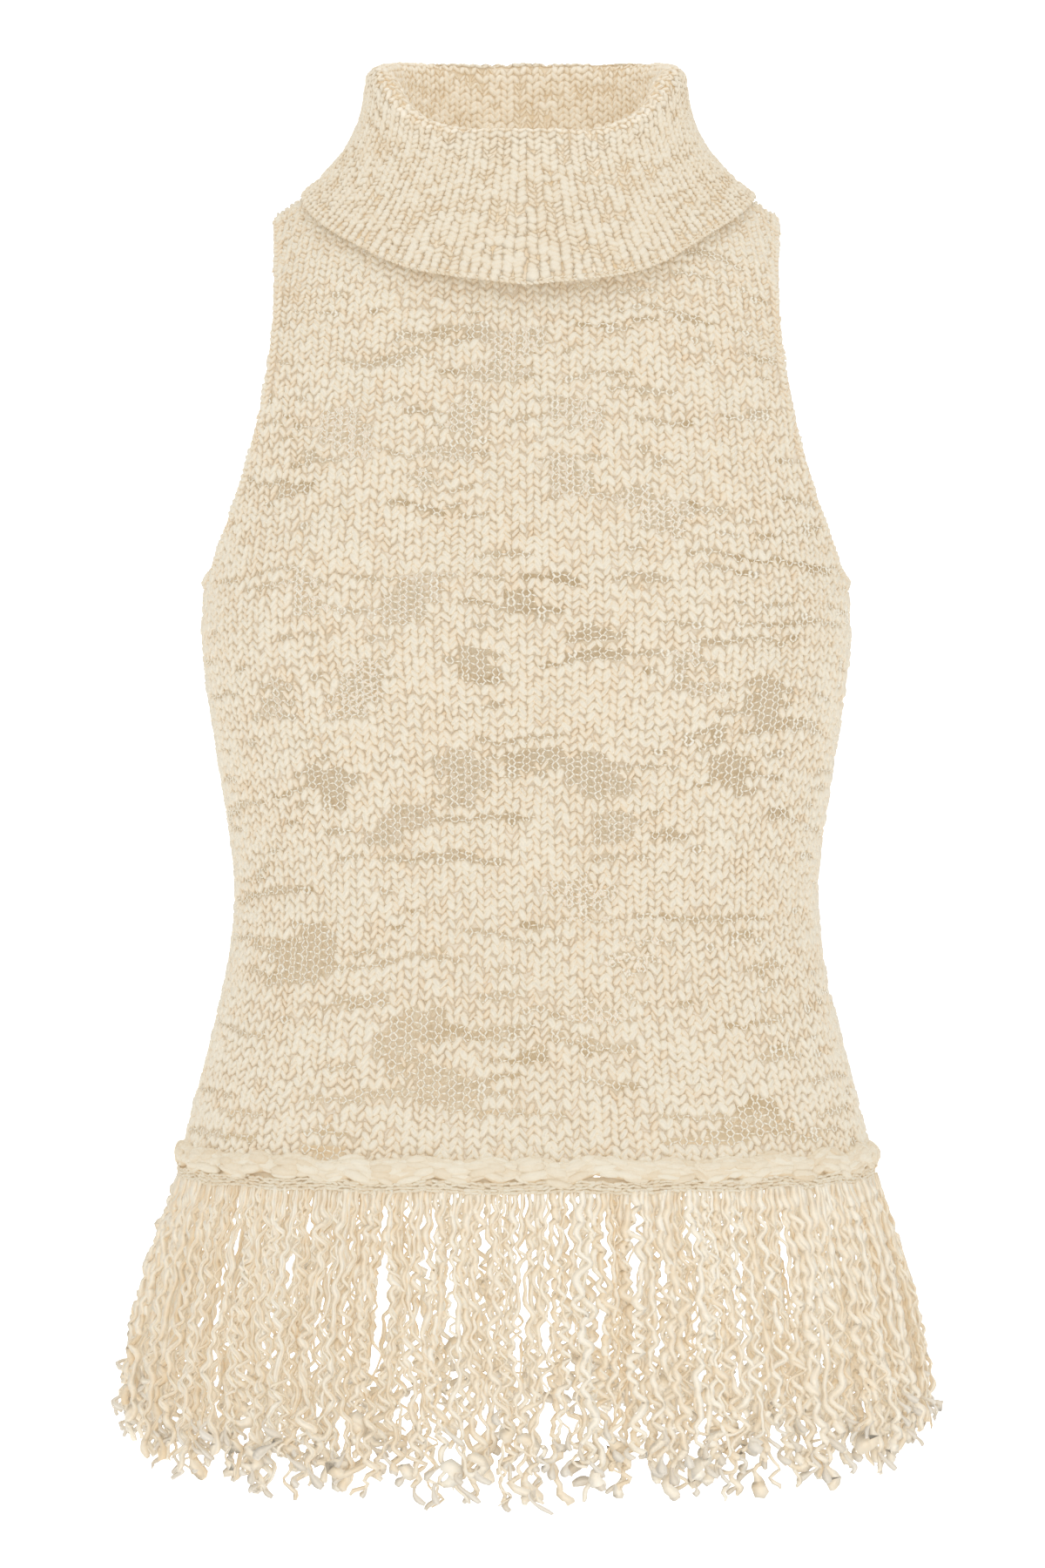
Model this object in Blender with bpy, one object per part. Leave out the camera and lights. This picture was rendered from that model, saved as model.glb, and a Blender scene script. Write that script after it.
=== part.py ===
"""Fringe knit top: a sleeveless roll-neck top in thick slub knit, filled out as if it were worn.

It has a rolled hem with a deep fringe of curly yarn below it. Lengths are in metres and +Z is up.
The front faces -Y and the wearer's left is at +X. The origin lies midway between the shoulders, at
the height where the cloth rests on them. Every piece of cloth is a thin wall, and the neck, the
armholes and the hem are open.
"""

import random
from bisect import bisect_right
from collections import namedtuple
from math import asin, copysign, cos, pi, radians, sin, sqrt

import bmesh
import bpy
from mathutils import Vector

# Cloth
PANEL_WALL = 0.0022
COLLAR_WALL = 0.0030
SEAM_GAP = 0.0003

# Body tube: its sections are rounded ovals, front and back halves with depths of their own.
Section = namedtuple("Section", "height half_width front_depth back_depth")
BODY_SECTIONS = (
    Section(-0.481, 0.1700, 0.120, 0.112),
    Section(-0.456, 0.1638, 0.114, 0.106),
    Section(-0.421, 0.1545, 0.105, 0.097),
    Section(-0.387, 0.1470, 0.098, 0.088),
    Section(-0.352, 0.1440, 0.095, 0.081),
    Section(-0.317, 0.1477, 0.099, 0.082),
    Section(-0.283, 0.1530, 0.106, 0.087),
    Section(-0.248, 0.1584, 0.114, 0.094),
    Section(-0.226, 0.1602, 0.117, 0.097),
    Section(-0.204, 0.1590, 0.118, 0.100),
    Section(-0.180, 0.1560, 0.116, 0.103),
    Section(-0.150, 0.1530, 0.111, 0.105),
    Section(-0.110, 0.1490, 0.101, 0.103),
    Section(-0.060, 0.1430, 0.082, 0.092),
    Section(-0.020, 0.1350, 0.062, 0.073),
    Section(0.015, 0.1270, 0.050, 0.058),
)
OVAL_POWER = 2.2  # 2 is an ellipse, more is squarer
HEM_HEIGHT = BODY_SECTIONS[0].height
UNDERARM_HEIGHT = -0.204

# Shoulder line, from the middle of the neck out to the armhole
ShoulderPoint = namedtuple("ShoulderPoint", "half_width height")
SHOULDER_LINE = (
    ShoulderPoint(0.000, 0.0140),
    ShoulderPoint(0.050, 0.0105),
    ShoulderPoint(0.072, 0.0030),
    ShoulderPoint(0.100, -0.0060),
    ShoulderPoint(0.112, -0.0108),
    ShoulderPoint(0.1215, -0.0168),
)
SHOULDER_ROLL = 0.046  # how far below the shoulder line the cloth has turned to face forwards

# Panel edge round the armhole, where the trim is joined on
ArmholePoint = namedtuple("ArmholePoint", "height half_width")
ARMHOLE_EDGE = (
    ArmholePoint(-0.204, 0.1590),
    ArmholePoint(-0.196, 0.1500),
    ArmholePoint(-0.180, 0.1428),
    ArmholePoint(-0.160, 0.1362),
    ArmholePoint(-0.130, 0.1288),
    ArmholePoint(-0.095, 0.1224),
    ArmholePoint(-0.060, 0.1196),
    ArmholePoint(-0.0168, 0.1215),
)
TRIM_WIDTH = 0.005
TRIM_PROUD = 0.0004  # the trim stands this far out of the panel on both faces

# Neck seam: it dips from the shoulder line in front, and a little at the back.
NECK_HALF_WIDTH = 0.072
FRONT_NECK_DROP = 0.041
BACK_NECK_DROP = 0.012

# Roll collar: rays at an angle from the front, with the heights of its fold and its lower edge
CollarRay = namedtuple("CollarRay", "angle fold_height edge_height")
COLLAR_RAYS = (
    CollarRay(0, 0.0120, -0.0610),
    CollarRay(28, 0.0140, -0.0530),
    CollarRay(50, 0.0250, -0.0355),
    CollarRay(70, 0.0440, -0.0200),
    CollarRay(90, 0.0510, -0.0085),
    CollarRay(125, 0.0570, -0.0120),
    CollarRay(180, 0.0605, -0.0210),
)
FOLD_HALF_WIDTH = 0.0752
FOLD_FRONT_DEPTH = 0.0620
FOLD_BACK_DEPTH = 0.0550
FOLD_RADIUS = 0.0032
EDGE_HALF_WIDTH = 0.1112
EDGE_FRONT_DEPTH = 0.0950
EDGE_BACK_DEPTH = 0.0960
MIDDLE_FLARE_POWER = 1.35  # 1 spreads evenly from the fold to the edge, more spreads lower down
SIDE_FLARE_POWER = 2.3
COLLAR_RIPPLE = 0.0012
COLLAR_RIPPLES = 5

# Rolled hem
ROLL_HALF_HEIGHT = 0.0048
ROLL_INWARD = 0.0040
ROLL_OUTWARD = 0.0058
ROLL_OFFSET = 0.0022
ROLL_LUMP = 0.0011
ROLL_LUMPS = (11, 23)

# Fringe: a narrow strip below the roll, and locks of unravelled yarn that grow from it
STRIP_HEIGHT = 0.0050
STRIP_WALL = 0.0022
STRIP_OFFSET = 0.0034
LOCKS_PER_SIDE = 76
LOCK_WIDTH = 0.0024
LOCK_THICKNESS = 0.0020
LOCK_TUFT = 1.35
LOCK_SHORTEST = 0.108
LOCK_LONGEST = 0.141
LOCK_SHORTER_AT_SIDES = 0.012
LOCK_WOBBLE = 0.0008
LOCK_STAGGER = 0.0016
SIDE_SPREAD = 0.026
MIDDLE_SPREAD = 0.020
CLUMP_REACH = 0.0022
CLUMPS_PER_SIDE = 7
LOCK_STATIONS = (0.30, 0.60, 0.86, 1.0)
FRINGE_SEED = 7

# Soft folds in the body: side, place across (-1 to 1), height, half length, half width and depth
Fold = namedtuple("Fold", "side across height half_length half_width depth")
FOLDS = (
    Fold("front", 0.80, -0.262, 0.060, 0.055, 0.0022),
    Fold("front", -0.84, -0.275, 0.070, 0.050, 0.0024),
    Fold("front", 0.45, -0.425, 0.060, 0.090, 0.0022),
    Fold("front", -0.30, -0.440, 0.050, 0.080, 0.0020),
    Fold("front", -0.66, -0.405, 0.060, 0.060, 0.0018),
    Fold("back", 0.72, -0.300, 0.070, 0.060, 0.0024),
    Fold("back", -0.70, -0.285, 0.060, 0.060, 0.0022),
    Fold("back", 0.20, -0.375, 0.050, 0.110, 0.0026),
    Fold("back", -0.42, -0.430, 0.060, 0.080, 0.0022),
)

# How finely each piece is divided
NECK_COLUMNS = 14
SIDE_COLUMNS = 5
BODY_ROWS = 11
CHEST_ROWS = 8
CHEST_ROW_SPREAD = 1.9  # more than 1 sets the rows closer together at the underarm
SHOULDER_ROWS = 4
COLLAR_FALL_ROWS = 5
COLLAR_STAND_ROWS = 2
COLLAR_FOLD_STEPS = 3
ROLL_STEPS = 80
ROLL_SIDES = 8

FORWARDS = {"front": -1, "back": 1}
UP = Vector((0, 0, 1))


def read(table, name, at):
    """A column of a table, on a smooth curve through its rows, at a value of its first column."""
    keys = [row[0] for row in table]
    values = [getattr(row, name) for row in table]
    at = min(max(at, keys[0]), keys[-1])
    low = min(bisect_right(keys, at) - 1, len(keys) - 2)
    span = keys[low + 1] - keys[low]
    t = (at - keys[low]) / span
    slopes = []
    for row in (low, low + 1):
        before = max(row - 1, 0)
        after = min(row + 1, len(keys) - 1)
        slopes.append(span * (values[after] - values[before]) / (keys[after] - keys[before]))
    rise = t * t * (3 - 2 * t)
    return (
        values[low] * (1 - rise)
        + values[low + 1] * rise
        + slopes[0] * t * (1 - t) ** 2
        - slopes[1] * t * t * (1 - t)
    )


def rounded_oval(angle, half_width, depth):
    """A level point of a rounded oval, at an angle round from the front."""
    power = 2 / OVAL_POWER
    x = copysign(half_width * abs(sin(angle)) ** power, sin(angle))
    y = copysign(depth * abs(cos(angle)) ** power, -cos(angle))
    return Vector((x, y, 0))


def fold_depth(side, across, height):
    """How far the soft folds push the cloth in."""
    depth = 0.0
    for fold in FOLDS:
        if fold.side == side:
            along = (height - fold.height) / fold.half_length
            over = (across - fold.across) / fold.half_width
            depth += fold.depth / (1 + along**4 + over**2) ** 2
    return depth


def body_point(side, x, height):
    """A point on the outside of the body, at a distance x from the middle."""
    half_width = read(BODY_SECTIONS, "half_width", height)
    depth = read(BODY_SECTIONS, side + "_depth", height)
    across = min(abs(x) / half_width, 1)
    depth = (depth - fold_depth(side, x / half_width, height)) * (1 - across**OVAL_POWER) ** (1 / OVAL_POWER)
    below = read(SHOULDER_LINE, "height", abs(x)) - height
    turned = min(max(below / SHOULDER_ROLL, 0), 1)
    depth *= sqrt(1 - (1 - turned) ** 2)
    return Vector((x, FORWARDS[side] * max(depth, SEAM_GAP / 2), height))


def neck_height(side, x):
    """The height of the neck seam, a parabola between the two shoulder lines."""
    drop = FRONT_NECK_DROP if side == "front" else BACK_NECK_DROP
    across = x / NECK_HALF_WIDTH
    return read(SHOULDER_LINE, "height", NECK_HALF_WIDTH) - drop * (1 - across**2)


def column_places():
    """Places across a panel, -1 to 1: under the neck they match the collar's rays."""
    tip = SHOULDER_LINE[-1].half_width
    neck = [sin(pi * (k / NECK_COLUMNS - 0.5)) * NECK_HALF_WIDTH / tip for k in range(NECK_COLUMNS + 1)]
    start = asin(neck[-1])
    outer = [sin(start + (pi / 2 - start) * k / SIDE_COLUMNS) for k in range(1, SIDE_COLUMNS + 1)]
    return [-place for place in reversed(outer)] + neck + outer


def panel_grid(side):
    """Rows of points on a panel's outside, from the hem to its neck and shoulder edge."""
    tip = SHOULDER_LINE[-1].half_width
    rows = []
    for row in range(BODY_ROWS + 1):
        height = HEM_HEIGHT + (UNDERARM_HEIGHT - HEM_HEIGHT) * row / BODY_ROWS
        half_width = read(BODY_SECTIONS, "half_width", height)
        rows.append([body_point(side, place * half_width, height) for place in column_places()])
    for row in range(1, CHEST_ROWS + SHOULDER_ROWS + 1):
        points = []
        for place in column_places():
            x = place * tip
            if abs(x) < NECK_HALF_WIDTH:
                top = neck_height(side, x)
            else:
                top = read(SHOULDER_LINE, "height", abs(x))
            if row <= CHEST_ROWS:
                rise = (row / CHEST_ROWS) ** CHEST_ROW_SPREAD
                height = UNDERARM_HEIGHT + (top - SHOULDER_ROLL - UNDERARM_HEIGHT) * rise
            else:
                turn = pi / 2 * (row - CHEST_ROWS) / SHOULDER_ROWS
                height = top - SHOULDER_ROLL * (1 - sin(turn))
            edge = read(ARMHOLE_EDGE, "half_width", height)
            points.append(body_point(side, place * edge, height))
        rows.append(points)
    return rows


def outward_normals(grid, side):
    """The normal at each point of a panel's grid."""
    normals = []
    last_row = len(grid) - 1
    last_column = len(grid[0]) - 1
    for i in range(last_row + 1):
        line = []
        for j in range(last_column + 1):
            across = grid[i][min(j + 1, last_column)] - grid[i][max(j - 1, 0)]
            along = grid[min(i + 1, last_row)][j] - grid[max(i - 1, 0)][j]
            line.append(FORWARDS[side] * along.cross(across).normalized())
        normals.append(line)
    return normals


def loft(sections, closed=False):
    """A mesh through closed sections of equal length, in a ring or with its two ends capped."""
    mesh = bmesh.new()
    rings = [[mesh.verts.new(point) for point in section] for section in sections]
    count = len(rings[0])
    for k in range(len(rings) if closed else len(rings) - 1):
        here = rings[k]
        following = rings[(k + 1) % len(rings)]
        for j in range(count):
            after = (j + 1) % count
            mesh.faces.new((here[j], here[after], following[after], following[j]))
    if not closed:
        for ring in (rings[0], rings[-1]):
            for j in range(count // 2 - 1):
                mesh.faces.new((ring[j], ring[j + 1], ring[-2 - j], ring[-1 - j]))
    return mesh


def add_piece(name, mesh, colour, roughness):
    """One closed piece of cloth, its faces outward, with its own material."""
    bmesh.ops.recalc_face_normals(mesh, faces=mesh.faces)
    # Facing edges at a seam are split along the same diagonals, so the gap between them stays even.
    bmesh.ops.triangulate(mesh, faces=mesh.faces, quad_method="SHORT_EDGE")
    data = bpy.data.meshes.new(name)
    mesh.to_mesh(data)
    mesh.free()
    data.shade_smooth()
    data.set_sharp_from_angle(angle=radians(50))
    material = bpy.data.materials.new(name)
    material.use_nodes = True
    shader = material.node_tree.nodes["Principled BSDF"]
    shader.inputs["Base Color"].default_value = (*colour, 1)
    shader.inputs["Roughness"].default_value = roughness
    shader.inputs["Metallic"].default_value = 0
    data.materials.append(material)
    piece = bpy.data.objects.new(name, data)
    bpy.context.scene.collection.objects.link(piece)
    return piece


def panel(name, side, colour):
    """Front or back: a thin wall, half of the body tube."""
    outside = panel_grid(side)
    normals = outward_normals(outside, side)
    sections = []
    for row, row_normals in zip(outside, normals):
        inside = [point - normal * PANEL_WALL for point, normal in zip(row, row_normals)]
        for point in inside:
            point.y = FORWARDS[side] * max(abs(point.y), SEAM_GAP / 2)
        sections.append(row + inside[::-1])
    add_piece(name, loft(sections), colour, 0.92)


def neck_seam():
    """Points of the panels' neck edges, round from the front, two for each column."""
    corners = []
    for k in range(2 * NECK_COLUMNS):
        angle = pi * k / NECK_COLUMNS
        side = "front" if cos(angle) > 0 else "back"
        x = NECK_HALF_WIDTH * sin(angle)
        corners.append(body_point(side, x, neck_height(side, x)))
    points = []
    for here, following in zip(corners, corners[1:] + corners[:1]):
        points += [here, (here + following) / 2]
    return points


def collar_sections():
    """The collar's wall at each ray: up from the neck seam, over the fold and down outside."""
    seam = neck_seam()
    sections = []
    for k, base in enumerate(seam):
        angle = 2 * pi * k / len(seam)
        from_front = 180 * min(angle, 2 * pi - angle) / pi
        in_front = cos(angle) > 0
        fold_depth_here = FOLD_FRONT_DEPTH if in_front else FOLD_BACK_DEPTH
        edge_depth_here = EDGE_FRONT_DEPTH if in_front else EDGE_BACK_DEPTH
        fold_height = read(COLLAR_RAYS, "fold_height", from_front)
        edge_height = read(COLLAR_RAYS, "edge_height", from_front)
        ripple = COLLAR_RIPPLE * sin(COLLAR_RIPPLES * angle + 0.6)
        flare_power = MIDDLE_FLARE_POWER + (SIDE_FLARE_POWER - MIDDLE_FLARE_POWER) * sin(angle) ** 4
        fold = Vector((FOLD_HALF_WIDTH * sin(angle), -fold_depth_here * cos(angle), fold_height))
        edge = rounded_oval(angle, EDGE_HALF_WIDTH, edge_depth_here) + UP * edge_height
        out = Vector((sin(angle) / FOLD_HALF_WIDTH, -cos(angle) / fold_depth_here, 0)).normalized()
        edge += (out - UP * 0.5) * ripple
        start = base + UP * SEAM_GAP - out * PANEL_WALL / 2
        stand_top = fold - out * FOLD_RADIUS
        fall_top = fold + out * FOLD_RADIUS
        path = []
        for row in range(COLLAR_STAND_ROWS):
            path.append(start.lerp(stand_top, row / COLLAR_STAND_ROWS))
        for step in range(COLLAR_FOLD_STEPS + 1):
            turn = pi * (1 - step / COLLAR_FOLD_STEPS)
            path.append(fold + (out * cos(turn) + UP * sin(turn)) * FOLD_RADIUS)
        for row in range(1, COLLAR_FALL_ROWS + 1):
            t = row / COLLAR_FALL_ROWS
            drop = fall_top.lerp(edge, t)
            spread = fall_top.lerp(edge, t**flare_power)
            path.append(Vector((spread.x, spread.y, drop.z)))
        sections.append(wall_section(path, out, COLLAR_WALL))
    return sections


def wall_section(path, out, wall):
    """A closed section round a path that rises and then falls, in the upright plane of out."""
    sides = ([], [])
    for k, point in enumerate(path):
        step = path[min(k + 1, len(path) - 1)] - path[max(k - 1, 0)]
        run = out * step.dot(out) + UP * step.z
        normal = (UP * step.dot(out) - out * step.z) / run.length
        sides[0].append(point + normal * wall / 2)
        sides[1].append(point - normal * wall / 2)
    return sides[0] + sides[1][::-1]


def armhole_ring(way):
    """Panel points and normals round an armhole: down the front from the tip and up the back."""
    rings = {}
    for side in FORWARDS:
        grid = panel_grid(side)
        normals = outward_normals(grid, side)
        column = -1 if way > 0 else 0
        rings[side] = [(grid[i][column], normals[i][column]) for i in range(BODY_ROWS, len(grid))]
    front = rings["front"]
    back = rings["back"]
    tip = ((front[-1][0] + back[-1][0]) / 2, (front[-1][1] + back[-1][1]).normalized())
    underarm = ((front[0][0] + back[0][0]) / 2, (front[0][1] + back[0][1]).normalized())
    return [tip] + front[-2:0:-1] + [underarm] + back[1:-1]


def armhole_trim(name, way, colour):
    """The narrow self band that continues the panels' wall round one armhole."""
    ring = armhole_ring(way)
    sections = []
    for k, (point, normal) in enumerate(ring):
        tangent = (ring[(k + 1) % len(ring)][0] - ring[k - 1][0]).normalized()
        away = way * normal.cross(tangent).normalized()
        outer = point + normal * TRIM_PROUD
        inner = point - normal * (PANEL_WALL + TRIM_PROUD)
        near = away * SEAM_GAP
        far = away * (SEAM_GAP + TRIM_WIDTH)
        sections.append([outer + near, outer + far, inner + far, inner + near])
    add_piece(name, loft(sections, closed=True), colour, 0.9)


def hem_place(angle, offset):
    """A point at the hem and the level direction out of the cloth, round from the front."""
    section = BODY_SECTIONS[0]
    depth = section.front_depth if cos(angle) > 0 else section.back_depth
    point = rounded_oval(angle, section.half_width, depth)
    slope_x = abs(point.x / section.half_width) ** (OVAL_POWER - 1) / section.half_width
    slope_y = abs(point.y / depth) ** (OVAL_POWER - 1) / depth
    out = Vector((copysign(slope_x, point.x), copysign(slope_y, point.y), 0)).normalized()
    return point + out * offset, out


def hem_roll(name, colour):
    """The rolled hem: a lumpy rope with a level top and underside, all round the hem."""
    middle = HEM_HEIGHT - SEAM_GAP - ROLL_HALF_HEIGHT
    sections = []
    for step in range(ROLL_STEPS):
        angle = 2 * pi * (step + 0.5) / ROLL_STEPS
        centre, out = hem_place(angle, ROLL_OFFSET)
        lump = sum(ROLL_LUMP * sin(count * angle + count) for count in ROLL_LUMPS)
        section = []
        for corner in range(ROLL_SIDES):
            turn = 2 * pi * corner / ROLL_SIDES
            reach = (ROLL_OUTWARD + lump) if cos(turn) > 0 else ROLL_INWARD
            across = out * reach * cos(turn)
            section.append(centre + across + UP * (middle + ROLL_HALF_HEIGHT * sin(turn)))
        sections.append(section)
    add_piece(name, loft(sections, closed=True), colour, 0.92)


def lock_sections(angle, number, rng):
    """The four-sided sections of one lock below its root, wavy and spread outwards."""
    root, out = hem_place(angle, STRIP_OFFSET)
    along = UP.cross(out)
    longest = LOCK_LONGEST - LOCK_SHORTER_AT_SIDES * out.x**2
    length = LOCK_SHORTEST + (longest - LOCK_SHORTEST) * rng.random() ** 0.8
    flare = MIDDLE_SPREAD + (SIDE_SPREAD - MIDDLE_SPREAD) * out.x**2
    stagger = LOCK_STAGGER * (1 if number % 2 else -1)
    clump = -CLUMP_REACH * sin(2 * CLUMPS_PER_SIDE * angle)
    top = HEM_HEIGHT - 2 * (SEAM_GAP + ROLL_HALF_HEIGHT) - STRIP_HEIGHT
    sections = []
    for k, t in enumerate(LOCK_STATIONS):
        spread = flare * sin(pi / 2 * t) + stagger * t
        sway = clump * t + LOCK_WOBBLE * (1 if (k + number) % 2 else -1) * rng.uniform(0.6, 1)
        centre = root + out * spread + along * sway + UP * (top - length * t)
        swell = LOCK_TUFT if k == len(LOCK_STATIONS) - 2 else 1
        half_width = along * LOCK_WIDTH * swell / 2
        half_depth = out * LOCK_THICKNESS * swell / 2
        sections.append(
            (
                centre - half_width + half_depth,
                centre + half_width + half_depth,
                centre + half_width - half_depth,
                centre - half_width - half_depth,
            )
        )
    return sections


def fringe(name, side, colour):
    """A narrow strip along half of the hem; every second cell of its underside grows a lock."""
    rng = random.Random(FRINGE_SEED + FORWARDS[side])
    mesh = bmesh.new()
    cells = 2 * LOCKS_PER_SIDE + 1
    middle = 0 if side == "front" else pi
    seam_angle = asin(SEAM_GAP / 2 / BODY_SECTIONS[0].front_depth) + 0.0004
    upper = HEM_HEIGHT - 2 * (SEAM_GAP + ROLL_HALF_HEIGHT)
    rings = []
    angles = []
    for cell in range(cells + 1):
        angle = middle + (pi - 2 * seam_angle) * (cell / cells - 0.5)
        centre, out = hem_place(angle, STRIP_OFFSET)
        half_wall = out * STRIP_WALL / 2
        top = UP * upper
        bottom = UP * (upper - STRIP_HEIGHT)
        corners = (
            centre + half_wall + top,
            centre + half_wall + bottom,
            centre - half_wall + bottom,
            centre - half_wall + top,
        )
        rings.append([mesh.verts.new(corner) for corner in corners])
        angles.append(angle)
    mesh.faces.new(rings[0])
    mesh.faces.new(rings[-1])
    for cell in range(cells):
        here = rings[cell]
        following = rings[cell + 1]
        for j in (0, 2, 3):
            after = (j + 1) % 4
            mesh.faces.new((here[j], here[after], following[after], following[j]))
        root = [here[1], following[1], following[2], here[2]]
        if cell % 2 == 0:
            mesh.faces.new(root)
            continue
        angle = (angles[cell] + angles[cell + 1]) / 2
        for section in lock_sections(angle, cell // 2, rng):
            ring = [mesh.verts.new(point) for point in section]
            for j in range(4):
                mesh.faces.new((root[j], root[(j + 1) % 4], ring[(j + 1) % 4], ring[j]))
            root = ring
        mesh.faces.new(root)
    add_piece(name, mesh, colour, 0.95)


def main():
    for old in list(bpy.data.objects):
        bpy.data.objects.remove(old)
    ecru = (0.83, 0.72, 0.54)
    warm_ecru = (0.81, 0.69, 0.50)
    pale_ecru = (0.84, 0.74, 0.57)
    panel("front_panel", "front", ecru)
    panel("back_panel", "back", ecru)
    add_piece("roll_collar", loft(collar_sections(), closed=True), warm_ecru, 0.92)
    armhole_trim("armhole_trim_left", 1, ecru)
    armhole_trim("armhole_trim_right", -1, ecru)
    hem_roll("hem_roll", pale_ecru)
    fringe("fringe_front", "front", pale_ecru)
    fringe("fringe_back", "back", pale_ecru)


main()
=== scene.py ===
import math

import bpy
import numpy as np
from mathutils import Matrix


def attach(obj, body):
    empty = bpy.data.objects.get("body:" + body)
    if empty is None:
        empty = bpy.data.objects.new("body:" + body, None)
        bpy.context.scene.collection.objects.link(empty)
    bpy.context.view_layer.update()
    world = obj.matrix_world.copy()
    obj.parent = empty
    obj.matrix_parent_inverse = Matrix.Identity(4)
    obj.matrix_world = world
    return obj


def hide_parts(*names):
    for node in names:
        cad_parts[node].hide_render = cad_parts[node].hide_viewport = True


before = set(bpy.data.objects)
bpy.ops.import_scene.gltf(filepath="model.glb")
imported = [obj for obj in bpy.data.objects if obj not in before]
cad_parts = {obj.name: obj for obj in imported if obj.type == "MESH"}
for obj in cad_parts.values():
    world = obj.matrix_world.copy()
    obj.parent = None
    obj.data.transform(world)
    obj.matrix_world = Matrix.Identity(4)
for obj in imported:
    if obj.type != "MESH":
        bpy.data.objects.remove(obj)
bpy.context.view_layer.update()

# The fringe knit top, dressed. Lengths are in metres, +Z is up and the front faces -Y.
# Each panel is an openwork ground with the yarn of every stitch laid on it.

PI = math.pi
UP = np.array((0.0, 0.0, 1.0))
FORWARDS = {"front": -1, "back": 1}
CAMERA_PLACE = np.array((-0.0019, -2.55, -0.300))  # the viewpoint of the photograph

# ---------------------------------------------------------------- the form, as in the solids

# height, half width, front depth, back depth
BODY_SECTIONS = np.array(
    (
        (-0.481, 0.1700, 0.120, 0.112),
        (-0.456, 0.1638, 0.114, 0.106),
        (-0.421, 0.1545, 0.105, 0.097),
        (-0.387, 0.1470, 0.098, 0.088),
        (-0.352, 0.1440, 0.095, 0.081),
        (-0.317, 0.1477, 0.099, 0.082),
        (-0.283, 0.1530, 0.106, 0.087),
        (-0.248, 0.1584, 0.114, 0.094),
        (-0.226, 0.1602, 0.117, 0.097),
        (-0.204, 0.1590, 0.118, 0.100),
        (-0.180, 0.1560, 0.116, 0.103),
        (-0.150, 0.1530, 0.111, 0.105),
        (-0.110, 0.1490, 0.101, 0.103),
        (-0.060, 0.1430, 0.082, 0.092),
        (-0.020, 0.1350, 0.062, 0.073),
        (0.015, 0.1270, 0.050, 0.058),
    )
)
OVAL_POWER = 2.2
HEM_HEIGHT = -0.481
UNDERARM_HEIGHT = -0.204

# half width, height
SHOULDER_LINE = np.array(
    ((0.0, 0.0140), (0.050, 0.0105), (0.072, 0.0030), (0.100, -0.0060), (0.112, -0.0108), (0.1215, -0.0168))
)
SHOULDER_ROLL = 0.046

# height, half width
ARMHOLE_EDGE = np.array(
    (
        (-0.204, 0.1585),
        (-0.196, 0.1535),
        (-0.180, 0.1468),
        (-0.160, 0.1388),
        (-0.130, 0.1294),
        (-0.095, 0.1224),
        (-0.060, 0.1196),
        (-0.0168, 0.1215),
    )
)

NECK_HALF_WIDTH = 0.072
NECK_DROP = {"front": 0.041, "back": 0.012}

# angle from the front, height of the fold, height of the lower edge
COLLAR_RAYS = np.array(
    (
        (0, 0.0120, -0.0610),
        (28, 0.0140, -0.0530),
        (50, 0.0250, -0.0355),
        (70, 0.0440, -0.0200),
        (90, 0.0510, -0.0085),
        (125, 0.0570, -0.0120),
        (180, 0.0605, -0.0210),
    )
)
FOLD_HALF_WIDTH = 0.0752
FOLD_DEPTH = {"front": 0.0620, "back": 0.0550}
FOLD_RADIUS = 0.0032
FOLD_FULLER_AT_SIDES = 0.0026
EDGE_HALF_WIDTH = 0.1112
EDGE_DEPTH = {"front": 0.0925, "back": 0.0960}
MIDDLE_FLARE_POWER = 1.35
SIDE_FLARE_POWER = 2.3
COLLAR_RIPPLE = 0.0012
COLLAR_RIPPLES = 5
PANEL_WALL = 0.0022
SEAM_GAP = 0.0003

# Soft folds in the body: place across, height, half length, half width, depth
FOLDS = {
    "front": (
        (0.80, -0.262, 0.060, 0.055, 0.0022),
        (-0.84, -0.275, 0.070, 0.050, 0.0024),
        (0.45, -0.425, 0.060, 0.090, 0.0022),
        (-0.30, -0.440, 0.050, 0.080, 0.0020),
        (-0.66, -0.405, 0.060, 0.060, 0.0018),
    ),
    "back": (
        (0.72, -0.300, 0.070, 0.060, 0.0024),
        (-0.70, -0.285, 0.060, 0.060, 0.0022),
        (0.20, -0.375, 0.050, 0.110, 0.0026),
        (-0.42, -0.430, 0.060, 0.080, 0.0022),
    ),
}

# ---------------------------------------------------------------- the knit

WALES = 55  # ribs across each panel
TOP_COURSES = 44  # courses from the chest over the shoulder
LEVEL_TOP = -0.100
# height, course height
COURSE_PITCH = np.array(
    ((-0.481, 0.00400), (-0.420, 0.00400), (-0.352, 0.00380), (-0.250, 0.00350), (-0.100, 0.00345))
)
# height, how much closer the wales lie in the middle
WALE_GATHER = np.array(((-0.481, 0.120), (-0.450, 0.115), (-0.352, 0.085), (-0.300, 0.100), (0.015, 0.100)))

BEAD_APART = 0.255  # of a wale, from the middle of the stitch
BEAD_HALF_WIDTH = 0.262  # of a wale
BEAD_HALF_LENGTH = 0.54  # of the leg's own reach
BEAD_HALF_DEPTH = 0.00180
BEAD_LEAN = 0.48  # of a wale, across each leg
BEAD_REACH = 1.35  # courses, along each leg
BEAD_SINK = 0.0008
GROUND_SINK = 0.0014
THREAD_RADIUS = 0.00046  # where the yarn runs thin
THIN_BELOW = 0.28  # of the full thickness

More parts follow.
